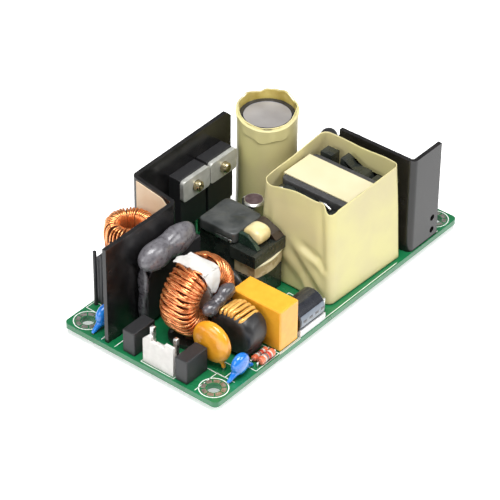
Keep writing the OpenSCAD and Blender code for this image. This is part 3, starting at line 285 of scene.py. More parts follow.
WHITE = finish("white cloth tape", (0.55, 0.54, 0.51), (0.68, 0.67, 0.65), 0.6, 0, 260, 0.4, 0.15)
YELLOW_CASE = finish(
    "yellow capacitor case", (0.82, 0.36, 0.02), (0.87, 0.41, 0.03), 0.34, 0, 500, 0.06, 0.03, 0.3,
    0.06)
LACQUER = finish(
    "resistor lacquer", (0.62, 0.12, 0.05), (0.75, 0.2, 0.1), 0.25, 0, 900, 0.1, 0.05, 0.5)
CAN = finish("drawn aluminium", (0.72, 0.71, 0.7), (0.85, 0.85, 0.84), 0.3, 1, 300, 0.05, 0.02)
CAN_SLEEVE = finish(
    "black can sleeve", (0.014, 0.016, 0.022), (0.024, 0.026, 0.034), 0.22, 0, 400, 0.05, 0.05,
    0.5, 0.05)
ADHESIVE = finish("white adhesive", (0.75, 0.75, 0.76), (0.85, 0.85, 0.86), 0.4, 0, 300, 0.3, 0.3)
BOBBIN = finish(
    "black bobbin", (0.012, 0.015, 0.013), (0.026, 0.03, 0.026), 0.28, 0, 300, 0.2, 0.08, 0.3)
GREY_TAPE = finish(
    "black cloth tape", (0.03, 0.034, 0.034), (0.07, 0.074, 0.072), 0.42, 0, 220, 0.35, 0.12, 0.15)
BEIGE = finish(
    "varnished tape", (0.5, 0.36, 0.18), (0.74, 0.6, 0.38), 0.28, 0, 350, 0.3, 0.15, 0.4)
print(len(bpy.data.materials), "finishes so far")

# %% [markdown]
# ## The camera, the floor and the light
#
# The supply is seen from its mains end, a little above. The lens is long, which keeps the far
# edges nearly as large as the near ones. Big soft lamps stand for a white light tent. The floor is
# lit for the camera so that it stays white, and it still takes the shadow.

# %% A camera from its bearing


def set_pose(obj, right, up, back, at):
    """Turn an object by the directions of its own three axes, and place it at millimetres."""
    columns = np.stack([right, up, back, np.array(at) * MM], 1)
    obj.matrix_world = Matrix([*columns.tolist(), [0, 0, 0, 1]])
    scene.collection.objects.link(obj)


def place_camera(at, bearing, down, roll, lens):
    """Forward is (cos b cos d, sin b cos d, -sin d); the roll turns right and up about it."""
    b, d, t = (math.radians(v) for v in (bearing, down, roll))
    forward = np.array([math.cos(b) * math.cos(d), math.sin(b) * math.cos(d), -math.sin(d)])
    right = np.array([math.sin(b), -math.cos(b), 0])
    up = np.cross(right, forward)
    data = bpy.data.cameras.new("camera")
    data.sensor_width, data.lens = 36, lens
    data.clip_start, data.clip_end = 0.05, 10
    obj = bpy.data.objects.new("camera", data)
    set_pose(obj, math.cos(t) * right + math.sin(t) * up,
             math.cos(t) * up - math.sin(t) * right, -forward, at)
    scene.camera = obj


place_camera(at=(-418.57, -333.36, 406.81), bearing=38.99, down=36.73, roll=0.58, lens=183.95)
scene.view_settings.view_transform = "Standard"
print("camera", tuple(round(v, 3) for v in scene.camera.location))

# %% A floor that stays white round its shadow
FLOOR_HALF = 1500
GLOW = 0.5


def floor_finish():
    """A matt white, with some light of its own for the rays that come straight from a lens or off
    a mirror."""
    m = bpy.data.materials.new("white floor")
    new, link = bare_tree(m)
    out = new("ShaderNodeOutputMaterial")
    matt, glow = new("ShaderNodeBsdfDiffuse"), new("ShaderNodeEmission")
    both, path = new("ShaderNodeAddShader"), new("ShaderNodeLightPath")
    matt.inputs["Color"].default_value = (0.88, 0.88, 0.88, 1)
    seen = new("ShaderNodeMath")
    seen.operation = "MAXIMUM"
    link(path.outputs["Is Camera Ray"], seen.inputs[0])
    link(path.outputs["Is Glossy Ray"], seen.inputs[1])
    part = new("ShaderNodeMath")
    part.operation = "MULTIPLY"
    part.inputs[1].default_value = GLOW
    link(seen.outputs[0], part.inputs[0])
    link(part.outputs[0], glow.inputs["Strength"])
    link(matt.outputs[0], both.inputs[0])
    link(glow.outputs[0], both.inputs[1])
    link(both.outputs[0], out.inputs[0])
    return m


def floor_at(z):
    """A wide square at height z, in metres."""
    mesh = bpy.data.meshes.new("floor")
    w = FLOOR_HALF * MM
    mesh.from_pydata([(-w, -w, z), (w, -w, z), (w, w, z), (-w, w, z)], [], [(0, 1, 2, 3)])
    mesh.materials.append(floor_finish())
    obj = bpy.data.objects.new("floor", mesh)
    scene.collection.objects.link(obj)


floor_at(cad_box[0][2])
print("floor at", round(cad_box[0][2] / MM, 2), "mm")

# %% Soft lamps and a white world


def lamp(name, at, size, power):
    """A square area lamp that looks at the supply."""
    data = bpy.data.lights.new(name, "AREA")
    data.size, data.energy = size * MM, power
    obj = bpy.data.objects.new(name, data)
    place = np.array(at) * MM
    away = place / np.linalg.norm(place)
    side = np.cross((0, 0, 1), away)
    side = side / np.linalg.norm(side)
    set_pose(obj, side, np.cross(away, side), away, at)


def white_world(light, seen):
    """Light strength for the object, and a white of its own for what a lens sees."""
    scene.world = bpy.data.worlds.new("studio")
    new, link = bare_tree(scene.world)
    out, back = new("ShaderNodeOutputWorld"), new("ShaderNodeBackground")
    path, pick = new("ShaderNodeLightPath"), new("ShaderNodeMapRange")
    pick.inputs["To Min"].default_value, pick.inputs["To Max"].default_value = light, seen
    back.inputs["Color"].default_value = (1, 1, 1, 1)
    link(path.outputs["Is Camera Ray"], pick.inputs[0])
    link(pick.outputs[0], back.inputs["Strength"])
    link(back.outputs[0], out.inputs[0])


lamp("high lamp", at=(-90, -60, 430), size=260, power=2.35)
lamp("near lamp", at=(120, -360, 240), size=220, power=0.8)
lamp("mains lamp", at=(-380, 60, 190), size=200, power=0.55)
white_world(light=0.25, seen=1)
print("three lamps and the world")

# %% [markdown]
# ## A finish for every part
#
# The parts of the frame arrive as plain solids with one slot each. Assigning to the slot gives
# them their finish and leaves their mesh alone. A part that a worked piece replaces needs none.

# %% Which part takes which finish
BOARD = finish(
    "green solder mask", (0.006, 0.135, 0.045), (0.01, 0.18, 0.065), 0.3, 0, 120, 0.05, 0.02, 0.3)
WORN = (
    (BOARD, "circuit_board"), (SOLDER, "solder_joints"), (CREAM, "heat_sink_tape"),
    (ANODISED, "primary_heat_sink secondary_heat_sink"),
    (MOULDING, "transistor_bodies rectifier_bodies bridge_rectifier fuses optocouplers "
               "controller_chips chip_resistors"),
    (TINNED, "transistor_legs rectifier_legs bridge_legs inlet_pins output_pins transformer_pins "
             "component_leads"),
    (PLATED, "clamp_plates"), (SCREW, "clamp_screws"), (GREY_CASE, "grey_film_capacitor"),
    # The cores under the windings wear the darker copper, as painted shade in the bores.
    (PAINTED_SHADE_COPPER, "toroid_core common_mode_core sleeved_choke_core"),
    (SLEEVING, "toroid_leads rod_choke"), (IVORY, "inlet_header output_header"),
    (BOBBIN, "common_mode_base boost_bobbin transformer_bobbin"),
    (WHITE, "common_mode_separator"), (YELLOW_CASE, "yellow_film_capacitor"),
    (LACQUER, "axial_resistors"), (CAN, "lying_capacitor control_capacitor output_capacitors"),
    (CAN_SLEEVE, "lying_capacitor_sleeve bulk_capacitor_sleeve output_capacitor_sleeves"),
    (ADHESIVE, "capacitor_adhesive"), (BEIGE, "boost_tape"), (CAN_LID, "bulk_capacitor"),
    (FERRITE, "transformer_core"), (TAPE, "transformer_winding"), (BAND_TAPE, "transformer_band"),
)
WEARS = {node: material for material, nodes in WORN for node in nodes.split()}
for node, material in WEARS.items():
    for slot in NODES[node].material_slots:
        slot.material = material
print("left to worked pieces:", sorted(set(NODES) - set(WEARS)))

# %% [markdown]
# ## Taking the sharpness off sheet and mouldings
#
# A real bent sheet or moulded case has small rounded edges that catch the light, and a plain solid
# has none. A copy of the part is merged, given a narrow bevel and weighted normals, and stands for
# it.

# %% A bevelled copy
EDGE_ANGLE = math.radians(30)
FLAT_ANGLE = math.radians(1)


def softened(node, width, lift=None):
    """A copy of a part whose sharp edges carry a bevel of width. lift gives, from the points in
    millimetres, how far each one rises."""
    mesh = NODES[node].data.copy()
    mesh.materials.clear()
    if lift:
        co = np.empty(len(mesh.vertices) * 3)
        mesh.vertices.foreach_get("co", co)
        co = co.reshape(-1, 3)
        co[:, 2] += lift(co / MM) * MM
        mesh.vertices.foreach_set("co", co.ravel())
    obj = finish_piece(node + "_dressed", mesh, WEARS[node], (node,), False)
    work = bmesh.new()
    work.from_mesh(mesh)
    bmesh.ops.dissolve_limit(work, angle_limit=FLAT_ANGLE, verts=work.verts, edges=work.edges)
    work.to_mesh(mesh)
    work.free()
    bevel = obj.modifiers.new("edge", "BEVEL")
    bevel.width, bevel.segments = width * MM, 2
    bevel.limit_method, bevel.angle_limit = "ANGLE", EDGE_ANGLE
    bevel.use_clamp_overlap = True
    mesh.polygons.foreach_set("use_smooth", np.full(len(mesh.polygons), True))
    weighted = obj.modifiers.new("shading", "WEIGHTED_NORMAL")
    weighted.keep_sharp = False


print("edges over", round(math.degrees(EDGE_ANGLE)), "degrees take a bevel")

# %% [markdown]
# Two copies also change shape a little. The back panel of the primary heat sink stands taller than
# its front plate, and the tape on it follows. The blue discs are dipped together with their leads,
# so that the bare wire there ends where the coating does.

# %% The taller back panel and the dipped leads
RIM = 28
SIDE_START, SIDE_LONG, SIDE_RISE = 12.3, 11.5, 2
BACK_START, BACK_LONG = -24, 38.6
DISCS = {"disc_left": (-45, 16.3), "disc_near": (-38.2, -22.7)}
DISC_PITCH, DISC_FOOT, WIRE_END = 9, 1.9, 2.2


def back_rise(points):
    """The top edge climbs 2 mm across the pocket's side and 1 mm more along the back."""
    side = np.clip((points[:, 1] - SIDE_START) / SIDE_LONG, 0, 1)
    back = np.clip((points[:, 0] - BACK_START) / BACK_LONG, 0, 1)
    return (points[:, 2] > RIM) * side * (SIDE_RISE + back)


def clipped_leads(points):
    """Leads under the blue discs end 0.6 mm above the board, where the coating takes over."""
    posts = np.array([(x + s * DISC_PITCH / 2, y) for x, y in DISCS.values() for s in (-1, 1)])
    away = np.linalg.norm(points[:, None, :2] - posts[None], axis=2).min(1)
    return np.where((away < 0.6) & (points[:, 2] > WIRE_END), WIRE_END - points[:, 2], 0)


softened("component_leads", 0.03, lift=clipped_leads)
softened("primary_heat_sink", 0.16, lift=back_rise)
softened("heat_sink_tape", 0.05, lift=back_rise)
for node, width in {
    "secondary_heat_sink": 0.16, "lying_capacitor_sleeve": 0.05, "output_capacitor_sleeves": 0.05,
    "bulk_capacitor_sleeve": 0.05, "rod_choke": 0.05, "control_capacitor": 0.05,
    "transistor_bodies": 0.15, "rectifier_bodies": 0.15, "bridge_rectifier": 0.25,
    "clamp_plates": 0.25, "fuses": 0.2, "inlet_header": 0.12, "output_header": 0.12,
    "yellow_film_capacitor": 0.35, "optocouplers": 0.12,
    "controller_chips": 0.08, "boost_bobbin": 0.25, "transformer_core": 0.25,
    "transformer_bobbin": 0.2, "common_mode_base": 0.2, "transistor_legs": 0.06,
    "rectifier_legs": 0.06, "bridge_legs": 0.06, "inlet_pins": 0.06, "output_pins": 0.06,
}.items():
    softened(node, width)
print("softened copies made")

# %% [markdown]
# ## Wound wire
#
# A ring core is wound turn by turn: the wire goes down through the bore, up outside, and steps on
# a little each time. The path is one long helix whose cross section is a squared ellipse round the
# core. A few slow sine waves move each turn, because a hand-wound ring is never quite even.

# %% A coil on a ring core
PER_TURN = 28


def coil_path(ri, ro, half, turns, a0, a1, uneven, phase, power=5, lean=0.0):
    """With t from 0 to turns and p = 2 pi t: radius = middle + reach * c, height = half * s, where
    c and s are the cosine and sine of p raised to 2/power with their signs kept, and the angle
    round the ring goes from a0 to a1 (degrees) with t, moved by uneven (a share of one turn). lean
    tilts each turn by its own share of degrees, so that neighbours cross."""
    t = np.linspace(0, turns, int(turns * PER_TURN) + 1)
    p = 2 * np.pi * t
    c, s = raised(np.cos(p), power), raised(np.sin(p), power)
    whole = np.floor(t)
    wander = uneven * (np.sin(1.9 * whole + phase) + 0.6 * np.sin(4.7 * whole + 2 * phase))
    a = np.radians(a0 + (a1 - a0) * (t + wander * (1 - np.abs(2 * (t - whole) - 1))) / turns)
    a = a + np.radians(lean) * s * (0.6 + 0.6 * np.sin(3.1 * whole + phase))
    r = (ri + ro) / 2 + (ro - ri) / 2 * c
    r = r + 0.12 * np.sin(2.3 * whole + phase) * (c > 0.5)
    return r, half * s, a


def set_on(centre, spin, r, z, a):
    """World points of ring coordinates: centre + r cos a U + r sin a V + z W, with U, V and W the
    rows of spin; and the direction along the ring at each point."""
    spin = np.array(spin, float)
    cos, sin = np.cos(a)[:, None], np.sin(a)[:, None]
    points = np.array(centre) + r[:, None] * (cos * spin[0] + sin * spin[1]) + z[:, None] * spin[2]
    return points, -sin * spin[0] + cos * spin[1]


def coil(centre, spin, wire, sides=7, **shape):
    """The grid of a wound wire of that diameter on a ring core."""
    points, beside = set_on(centre, spin, *coil_path(**shape))
    return tube(points, wire / 2, beside, sides)


FLAT = ((1, 0, 0), (0, 1, 0), (0, 0, 1))
ON_Y = ((1, 0, 0), (0, 0, 1), (0, -1, 0))
ON_X = ((0, 0, -1), (0, 1, 0), (1, 0, 0))

mid, half = middle_of("toroid_winding")
WIRE, BORE = 0.56, 2.4
layers = [coil(mid, FLAT, WIRE, 6, ri=BORE + WIRE / 2 + drop, ro=half[0] - WIRE / 2 - drop,
               half=half[2] - WIRE / 2 - drop, turns=turns, a0=-190, a1=167, uneven=0.16,
               power=3.0, phase=0.7, lean=lean)
          for drop, turns, lean in ((0, 39, 1.5), (0.45, 37, -2))]
piece("toroid_wire", layers[:1], COPPER, ("toroid_winding",))
# The lower layer of turns is the darker copper, painted shade between the turns above it.
piece("toroid_under_wire", layers[1:], PAINTED_SHADE_COPPER)
print("toroid", 2 * half)

# %% [markdown]
# The common mode choke carries two windings of thicker wire, one on each half of the ring. The
# turns of each lie in two crossing layers, over a third in copper darkened as painted shade, which
# shows only as darkness between them.

# %% The two windings of the common mode choke
low, high = box_of("common_mode_near_winding")
far_high = box_of("common_mode_far_winding")[1]
cm_mid = np.array([(low[0] + far_high[0]) / 2, (low[1] + high[1]) / 2, (low[2] + high[2]) / 2])
cm_r, cm_half = (far_high[0] - low[0]) / 2, (high[1] - low[1]) / 2
WIRE, BORE = 0.76, 3.7
WIRE_IN = WIRE * 0.45
for name, a0, a1, turns, power, lean in (("near", 107, 253, 31, 2.9, 5),
                                         ("far", -73, 73, 21, 2.4, 2)):
    layers = [coil(cm_mid, ON_Y, WIRE, ri=BORE + drop, ro=cm_r - WIRE_IN - drop,
                   half=cm_half - WIRE_IN - drop, turns=turns + more, a0=a0 + inset,
                   a1=a1 - inset, uneven=0.06 * lean, phase=a1 + drop, power=power, lean=cross)
              for drop, more, inset, cross in ((0, 0, 2, lean), (0.4, -5, 4, -1.4 * lean),
                                               (0.95, 4, 3, 2))]
    piece(f"common_mode_{name}_wire", layers[:2], BROWN_COPPER, (f"common_mode_{name}_winding",))
    # The third layer is the darker copper, painted shade between the turns above it.
    piece(f"common_mode_{name}_under_wire", layers[2:], PAINTED_SHADE_COPPER)
print("common mode choke", cm_mid, cm_r)

# %% The winding in the sleeved choke
mid, half = middle_of("sleeved_choke_winding")
WIRE, BORE = 1.15, 1.9
piece("sleeved_choke_wire",
      [coil(mid, ON_X, WIRE, ri=BORE, ro=half[1] - WIRE / 2 + 0.1, half=half[0] - WIRE / 2,
            turns=23, a0=14, a1=346, uneven=0.22, phase=2)],
      STRIPE_WIRE, ("sleeved_choke_winding",))
print("sleeved choke", 2 * half)

# %% [markdown]
# ## Tape walls
#
# The transformer stands in a sheath of thin yellow tape, and a collar of the same tape goes round
# the tall capacitor. Both are a closed loop carried upwards, with a second surface inside it.
# Wrinkles are sums of sines that fade where the tape is pulled tight.

# %% A loose wall from a loop


def soft_loop(corners, radius, count):
    """Points evenly spaced along a polygon whose corners are quarter-round arcs of that radius.
    corners are (levels, sides, 2): each arc point is corner + radius * ((1 - sin q) back +
    (1 - cos q) onward), with back and onward the directions to the neighbouring corners."""
    back = np.roll(corners, 1, 1) - corners
    onward = np.roll(corners, -1, 1) - corners
    back /= np.linalg.norm(back, axis=2, keepdims=True)
    onward /= np.linalg.norm(onward, axis=2, keepdims=True)
    q = np.linspace(0, np.pi / 2, 7)[:, None]
    arcs = corners[:, :, None] + radius * ((1 - np.sin(q)) * back[:, :, None]
                                           + (1 - np.cos(q)) * onward[:, :, None])
    loops = arcs.reshape(len(corners), -1, 2)
    loops = np.concatenate([loops, loops[:, :1]], 1)
    gaps = np.linalg.norm(np.diff(loops, axis=1), axis=2)
    way = np.concatenate([np.zeros((len(loops), 1)), np.cumsum(gaps, 1)], 1)
    way /= way[:, -1:]
    u = np.linspace(0, 1, count, endpoint=False)
    return np.stack([np.stack([np.interp(u, w, row[:, k]) for k in (0, 1)], -1)
                     for w, row in zip(way, loops)])


def outward(loop):
    """The direction square to a closed loop at each point, to its right as it runs."""
    along = np.roll(loop, -1, 1) - np.roll(loop, 1, 1)
    side = np.stack([along[..., 1], -along[..., 0]], -1)
    return side / np.linalg.norm(side, axis=2, keepdims=True)


def wall(loops, heights, thick, folds):
    """A closed sheet: loops (levels, points, 2) at heights (levels, points), moved outwards by
    folds and then repeated inwards by thick, joined over both edges."""
    side = outward(loops)
    outer, inner = loops + side * folds[..., None], loops + side * (folds - thick)[..., None]
    sheet = [np.concatenate([ring, heights[..., None]], -1) for ring in (outer, inner)]
    return np.concatenate([sheet[0], sheet[1][::-1]]), True, True


print("loops and walls of tape")

# %% [markdown]
# The sheath is square at its foot and leans in towards its rim. Seen from the mains end its rim
# dips at the far corner, rises to a low peak at the near one, and its face is creased where the
# tape was pressed. s and t are the shares of the way across that face and up it, and u the share
# of the way round the loop.

# %% The sheath of the transformer
low, high = box_of("transformer_sheath")
LEVELS, AROUND = 80, 400
SHEATH_FOOT = np.array([[-2.7, -23.3], [27.6, -24.3], [27.0, 2.2], [-2.2, 2.2]])
SHEATH_RIM = np.array([[-0.6, -21.9], [26.4, -23.2], [26.4, 2.2], [0.0, 2.0]])
CORNER, TAPE_THICK = 2.2, 0.22
FOOT_Z, RIM_Z, RIM_CLIMB = 1.9, 29, 2.3
FACE_Y, FACE_LONG = 2.0, 23.9
t = np.linspace(0, 1, LEVELS)[:, None]
u = np.linspace(0, 1, AROUND, endpoint=False)[None]
loops = soft_loop(SHEATH_FOOT[None] * (1 - t[:, :, None]) + SHEATH_RIM[None] * t[:, :, None],
                  CORNER, AROUND)
across = (loops[..., 0] - low[0]) / (high[0] - low[0])
front = np.clip((-18 - loops[..., 1]) / 4, 0, 1)
mains = np.clip((2 - loops[..., 0]) / 3, 0, 1)
s = np.clip((FACE_Y - loops[..., 1]) / FACE_LONG, 0, 1)


def bell(height, at, width):
    """A bump or dip of the rim at a share of the face, as a bell curve."""
    return height * np.exp(-((s - at) / width) ** 2)


def step(height, at, width):
    """A rise of the rim from a share of the face onwards, as a smooth step."""
    return height / (1 + np.exp((at - s) / width))


dips = mains * (bell(-0.8, 0.12, 0.07) + step(1.8, 0.34, 0.06) + bell(0.5, 0.83, 0.04)
                + step(-2.9, 0.885, 0.012)) + 0.1 * np.sin(2 * np.pi * 7 * u) * (1 - front)
heights = FOOT_Z + (RIM_Z + RIM_CLIMB * np.clip(across, 0, 1) + dips - FOOT_Z) * t
print("sheath", LEVELS, "x", AROUND)

# %% Its creases


def fold(from_s, from_t, to_s, to_t, width, height):
    """A crease along a line on the mains side, in shares of its width and height: a ridge beside
    a valley, as the slope of a bell curve across the line, fading beyond both ends."""
    ds, dt = to_s - from_s, to_t - from_t
    long = math.hypot(ds, dt)
    along = ((s - from_s) * ds + (t - from_t) * dt) / long ** 2
    off = ((s - from_s) * dt - (t - from_t) * ds) / long / width
    fade = 1 / (1 + np.exp(-along / 0.06)) / (1 + np.exp((along - 1) / 0.06))
    return -height * 1.6 * off * np.exp(-off ** 2) * fade


CREASES = (  # from s, from t, to s, to t, width, height
    (0.5, 0.42, 0.96, 0.06, 0.07, 0.75), (0.62, 0.47, 1.02, 0.33, 0.05, -0.6),
    (0.86, 0.96, 0.95, 0.4, 0.06, 0.55), (0.28, 0.3, 0.62, 0.14, 0.09, 0.35),
    (0.12, 0.85, 0.2, 0.35, 0.08, 0.3), (0.66, 0.2, 0.8, 0.02, 0.05, -0.45))
belly = 0.3 * np.sin(np.pi * s) * np.sin(np.pi * np.clip(t * 1.2, 0, 1))
smooth_side = 0.12 * np.sin(5 * across + 3 * t + 1) * np.sin(np.pi * t)
ripple = 0.1 * np.sin(2 * np.pi * 5 * u + 4 * t)
folds = front * smooth_side + mains * (sum(fold(*row) for row in CREASES) + belly) * (1 - front) \
    + ripple * (1 - front) * (1 - mains) - 0.3
piece("transformer_sheath_tape", [wall(loops, heights, TAPE_THICK, folds)], TAPE,
      ("transformer_sheath",))
print(len(CREASES), "creases")

# %% The collar round the tall capacitor
low, high = box_of("bulk_capacitor_tape")
mid = (low + high) / 2
LEVELS, AROUND = 44, 288
FRONT = math.radians(-141)
t = np.linspace(0, 1, LEVELS)[:, None]
a = np.linspace(0, 2 * np.pi, AROUND, endpoint=False)[None] + 0 * t
facing = np.clip(0.5 + 0.5 * np.cos(a - FRONT), 0, 1)
ragged = 0.35 * np.sin(4 * a + 1) + 0.25 * np.sin(9 * a + 2) + 0.1 * np.sin(19 * a)
top = high[2] - 2.6 * facing ** 1.3 + ragged * (1 - facing) - 0.2


def around_can(radius, heights, thick, folds):
    """A wall on circles about the tall capacitor's axis."""
    ring = mid[:2] + radius * np.stack([np.cos(a), np.sin(a)], -1)
    return wall(ring, heights, thick, folds)


radius = (high[0] - low[0]) / 2 - 0.1
over = np.clip((t - 0.94) / 0.06, 0, 1) ** 2
lean = -1.1 * over * facing + 0.3 * t ** 8 * np.sin(7 * a) * (1 - facing)
ripple = 0.06 * np.sin(6 * a + 5 * t)
piece("bulk_capacitor_collar",
      [around_can(radius, low[2] + (top - low[2]) * t, 0.14, ripple - 0.1 + lean)],
      TAPE, ("bulk_capacitor_tape",))
print("collar top", round(float(top.max()), 1))

# %% [markdown]
# The free end of that tape is folded down over the side that faces the mains end. Behind the can
# the tape shows its adhesive side in amber, coloured darker than the tape as painted shade inside
# the collar.

# %% The turned-down lip and the lining
lip = np.clip(1 - ((a - FRONT + np.pi) % (2 * np.pi) - np.pi) ** 2 / 1.9, 0, 1)
down = 3.4 * lip * (1 + 0.12 * np.sin(9 * a)) + 0.25
flare = 0.22 * (1 - t) * lip * (1 + np.sin(13 * a)) * 0.5
piece("bulk_capacitor_lip",
      [around_can(radius + 0.06, top - 0.15 - down * (1 - t), 0.1,
                  0.02 + flare - 0.9 * over * facing)], TAPE)
# The lining is the tape's adhesive side in amber, partly painted shade inside the back of the
# collar.
deep = 3.6 * (1 - facing) * (1 - t)
piece("bulk_capacitor_lining",
      [around_can(radius - 0.5, top - 0.1 - deep - 0.05 * (1 - t), 0.08,
                  0.05 * np.sin(11 * a) - 0.5 * facing)], AMBER_AND_PAINTED_SHADE)
print("lip", round(float(down.max()), 1), "mm down")

# %% [markdown]
# ## Dipped coatings
#
# A disc capacitor or varistor is dipped in resin with its leads, so that the coating is a lens
# that runs down both leads in two drips. The lens is a squared ellipsoid and each drip a tapering
# tube. A voxel remesh joins them and a smoothing blends the joint, which is just how the resin
# flows.

# %% A coated disc with two drips


def squared_ball(centre, half, powers=(2.0, 2.0), rows=40, cols=64, lumps=0.0, seed=0.0):
    """x and y are cosines of latitude times cosine and sine of longitude, z its sine, each raised
    to 2/power with its sign kept and scaled by half; lumps swells it by slow sines of both
    angles."""
    v = np.linspace(-np.pi / 2, np.pi / 2, rows)[:, None]
    u = np.linspace(0, 2 * np.pi, cols, endpoint=False)[None]
    belt = raised(np.cos(v), powers[1])
    shape = np.stack([belt * raised(np.cos(u), powers[0]), belt * raised(np.sin(u), powers[0]),
                      raised(np.sin(v), powers[1]) + 0 * u], -1)
    swell = 1 + lumps * (np.sin(3 * u + seed) * np.cos(v)
                         + np.sin(5 * v + 2 * u + 2 * seed) * np.cos(v)
                         + 0.5 * np.sin(9 * u + 4 * v + seed) * np.cos(v) ** 2)
    return np.array(centre) + np.array(half) * shape * swell[..., None], False, True


def grow_together(obj, voxel, passes):
    """Remesh overlapping shells into one skin, in steps of voxel millimetres, and smooth it."""
    skin = obj.modifiers.new("skin", "REMESH")
    skin.mode, skin.voxel_size, skin.use_smooth_shade = "VOXEL", voxel * MM, True
    flow = obj.modifiers.new("flow", "SMOOTH")
    flow.factor, flow.iterations = 0.5, passes


def coated_disc(name, centre, d, t, across_x, pitch, foot, material, stands_for):
    """The lens in the plane of its leads, joined to a drip along each lead down to foot. With drop
    from 0 to 1 down a drip, it spreads to the pitch as (1.12 drop, at most 1) ** 1.2 and thins to
    the coated wire as (1 - drop) ** 2."""
    lens, *wrap = squared_ball((0, 0, 0), (d / 2 + 0.1, d / 2 + 0.1, t / 2 + 0.15), (2.0, 2.4))
    flat = np.stack([lens[..., 0], lens[..., 2], lens[..., 1]], -1)
    grids = [(flat, *wrap)]
    for s in (-1, 1):
        z = np.linspace(-0.2 * d, foot - centre[2], 12)
        drop = (z - z[0]) / (z[-1] - z[0])
        start = min(0.75 * pitch / 2, 0.24 * d)
        reach = start + (pitch / 2 - start) * np.minimum(1, 1.12 * drop) ** 1.2
        line = np.stack([s * reach, 0 * z, z], -1)
        grids.append(tube(line, 0.34 * t * (1 - drop) ** 2 + 0.55, (0, 1, 0), 12))
    if not across_x:
        grids = [(np.stack([-g[..., 1], g[..., 0], g[..., 2]], -1), *rest) for g, *rest in grids]
    obj = piece(name, [(g + np.array(centre), *rest) for g, *rest in grids], material, stands_for)
    grow_together(obj, 0.14, 12)


for name, (x, y) in DISCS.items():
    coated_disc(name, (x, y, 5.1), 5.8, 2.8, True, DISC_PITCH, DISC_FOOT, BLUE,
                ("disc_capacitors",))
for node, pitch, foot, material, slot in (("varistor", 7.5, 2.2, ORANGE, "orange_coating"),
                                          ("thermistor", 5, 2.2, BLACK_DIP, "black_coating")):
    mid, half = middle_of(node)
    coated_disc(node + "_dip", mid, 2 * half[1], 2 * half[0], False, pitch, foot, material,
                (node,))
    print(node, 2 * half)

# %% [markdown]
# ## Silicone
#
# Grey silicone glues the tall pieces together. It sets as rounded, lumpy beads with small craters
# from bubbles, and it is glossy. Each bead is a squared ellipsoid with slow swellings; a remesh
# joins the lobes of one bead.

# %% Beads of silicone
GREY_GLUE = finish(
    "pale grey silicone", (0.105, 0.1, 0.11), (0.16, 0.155, 0.168), 0.3, 0, 800, 0.28, 0.2, 0.35,
    0.14, detail=6, spread=(0.4, 0.62))
DARK_GLUE = finish(
    "dark grey silicone", (0.04, 0.038, 0.043), (0.085, 0.08, 0.09), 0.28, 0, 700, 0.35, 0.2, 0.5,
    detail=5)


def bead(name, at, balls, material, voxel=0.3):
    """Several lumpy balls, each (offset from at, half sizes, seed), grown together."""
    grids = [squared_ball(np.array(at) + offset, half, (2.1, 2.2), 30, 48, 0.025, seed)
             for offset, half, seed in balls]
    obj = piece(name, grids, material, ("silicone_beads",))
    grow_together(obj, voxel, 24)


low, high = box_of("bridge_rectifier")
top_edge = (low[0], high[1], high[2])
bead("bridge_bead", top_edge, [((3.8, -3.0, 3.2), (6.0, 3.1, 3.9), 0.4),
                               ((11.6, -3.0, 3.5), (6.4, 3.1, 4.1), 2.1),
                               ((7.7, -2.7, 3.2), (8.0, 2.8, 3.4), 3.0)], GREY_GLUE)
bead("bridge_smear", top_edge, [((-0.1, -2.0, -4.5), (0.8, 1.9, 5.4), 1.0),
                                ((-0.2, -1.6, -12.0), (0.7, 1.5, 5.0), 2.0)], DARK_GLUE)
low, high = box_of("grey_film_capacitor")
bead("grey_capacitor_bead", (low[0], low[1], 0), [((-0.3, -0.3, 7.2), (1.9, 1.9, 3.4), 1.7),
                                                  ((-0.2, -0.2, 11.6), (1.5, 1.5, 3.0), 0.7)],
     GREY_GLUE)
mid, foot = middle_of("toroid_winding")[0], box_of("toroid_winding")[0][2]
bead("toroid_bead", (mid[0], mid[1], foot), [((0, 0, -0.8), (4.2, 3.4, 1.1), 2.2)], GREY_GLUE)
mid = middle_of("sleeved_choke_winding")[0]
bead("choke_bead", (mid[0], cm_mid[1] - cm_half, mid[2]),
     [((-4.8, -1.9, 5.4), (2.6, 1.9, 1.9), 0.3), ((-1.6, -1.9, 6.2), (2.3, 1.8, 1.7), 1.3),
      ((1.2, -1.9, 7.2), (2.9, 1.9, 2.2), 2.6)], DARK_GLUE, 0.22)
print("beads of silicone set")

# %% [markdown]
# ## The shrunk sleeve
#
# The small choke is a ring stood on its edge inside a piece of heat-shrink sleeve. The sleeve hugs
# the ring and draws in to an oval opening on top, where the crown of the winding shows.

# %% A sleeve that draws in to an oval
SLEEVE_TOP, SLEEVE_WALL = 13.4, 0.42


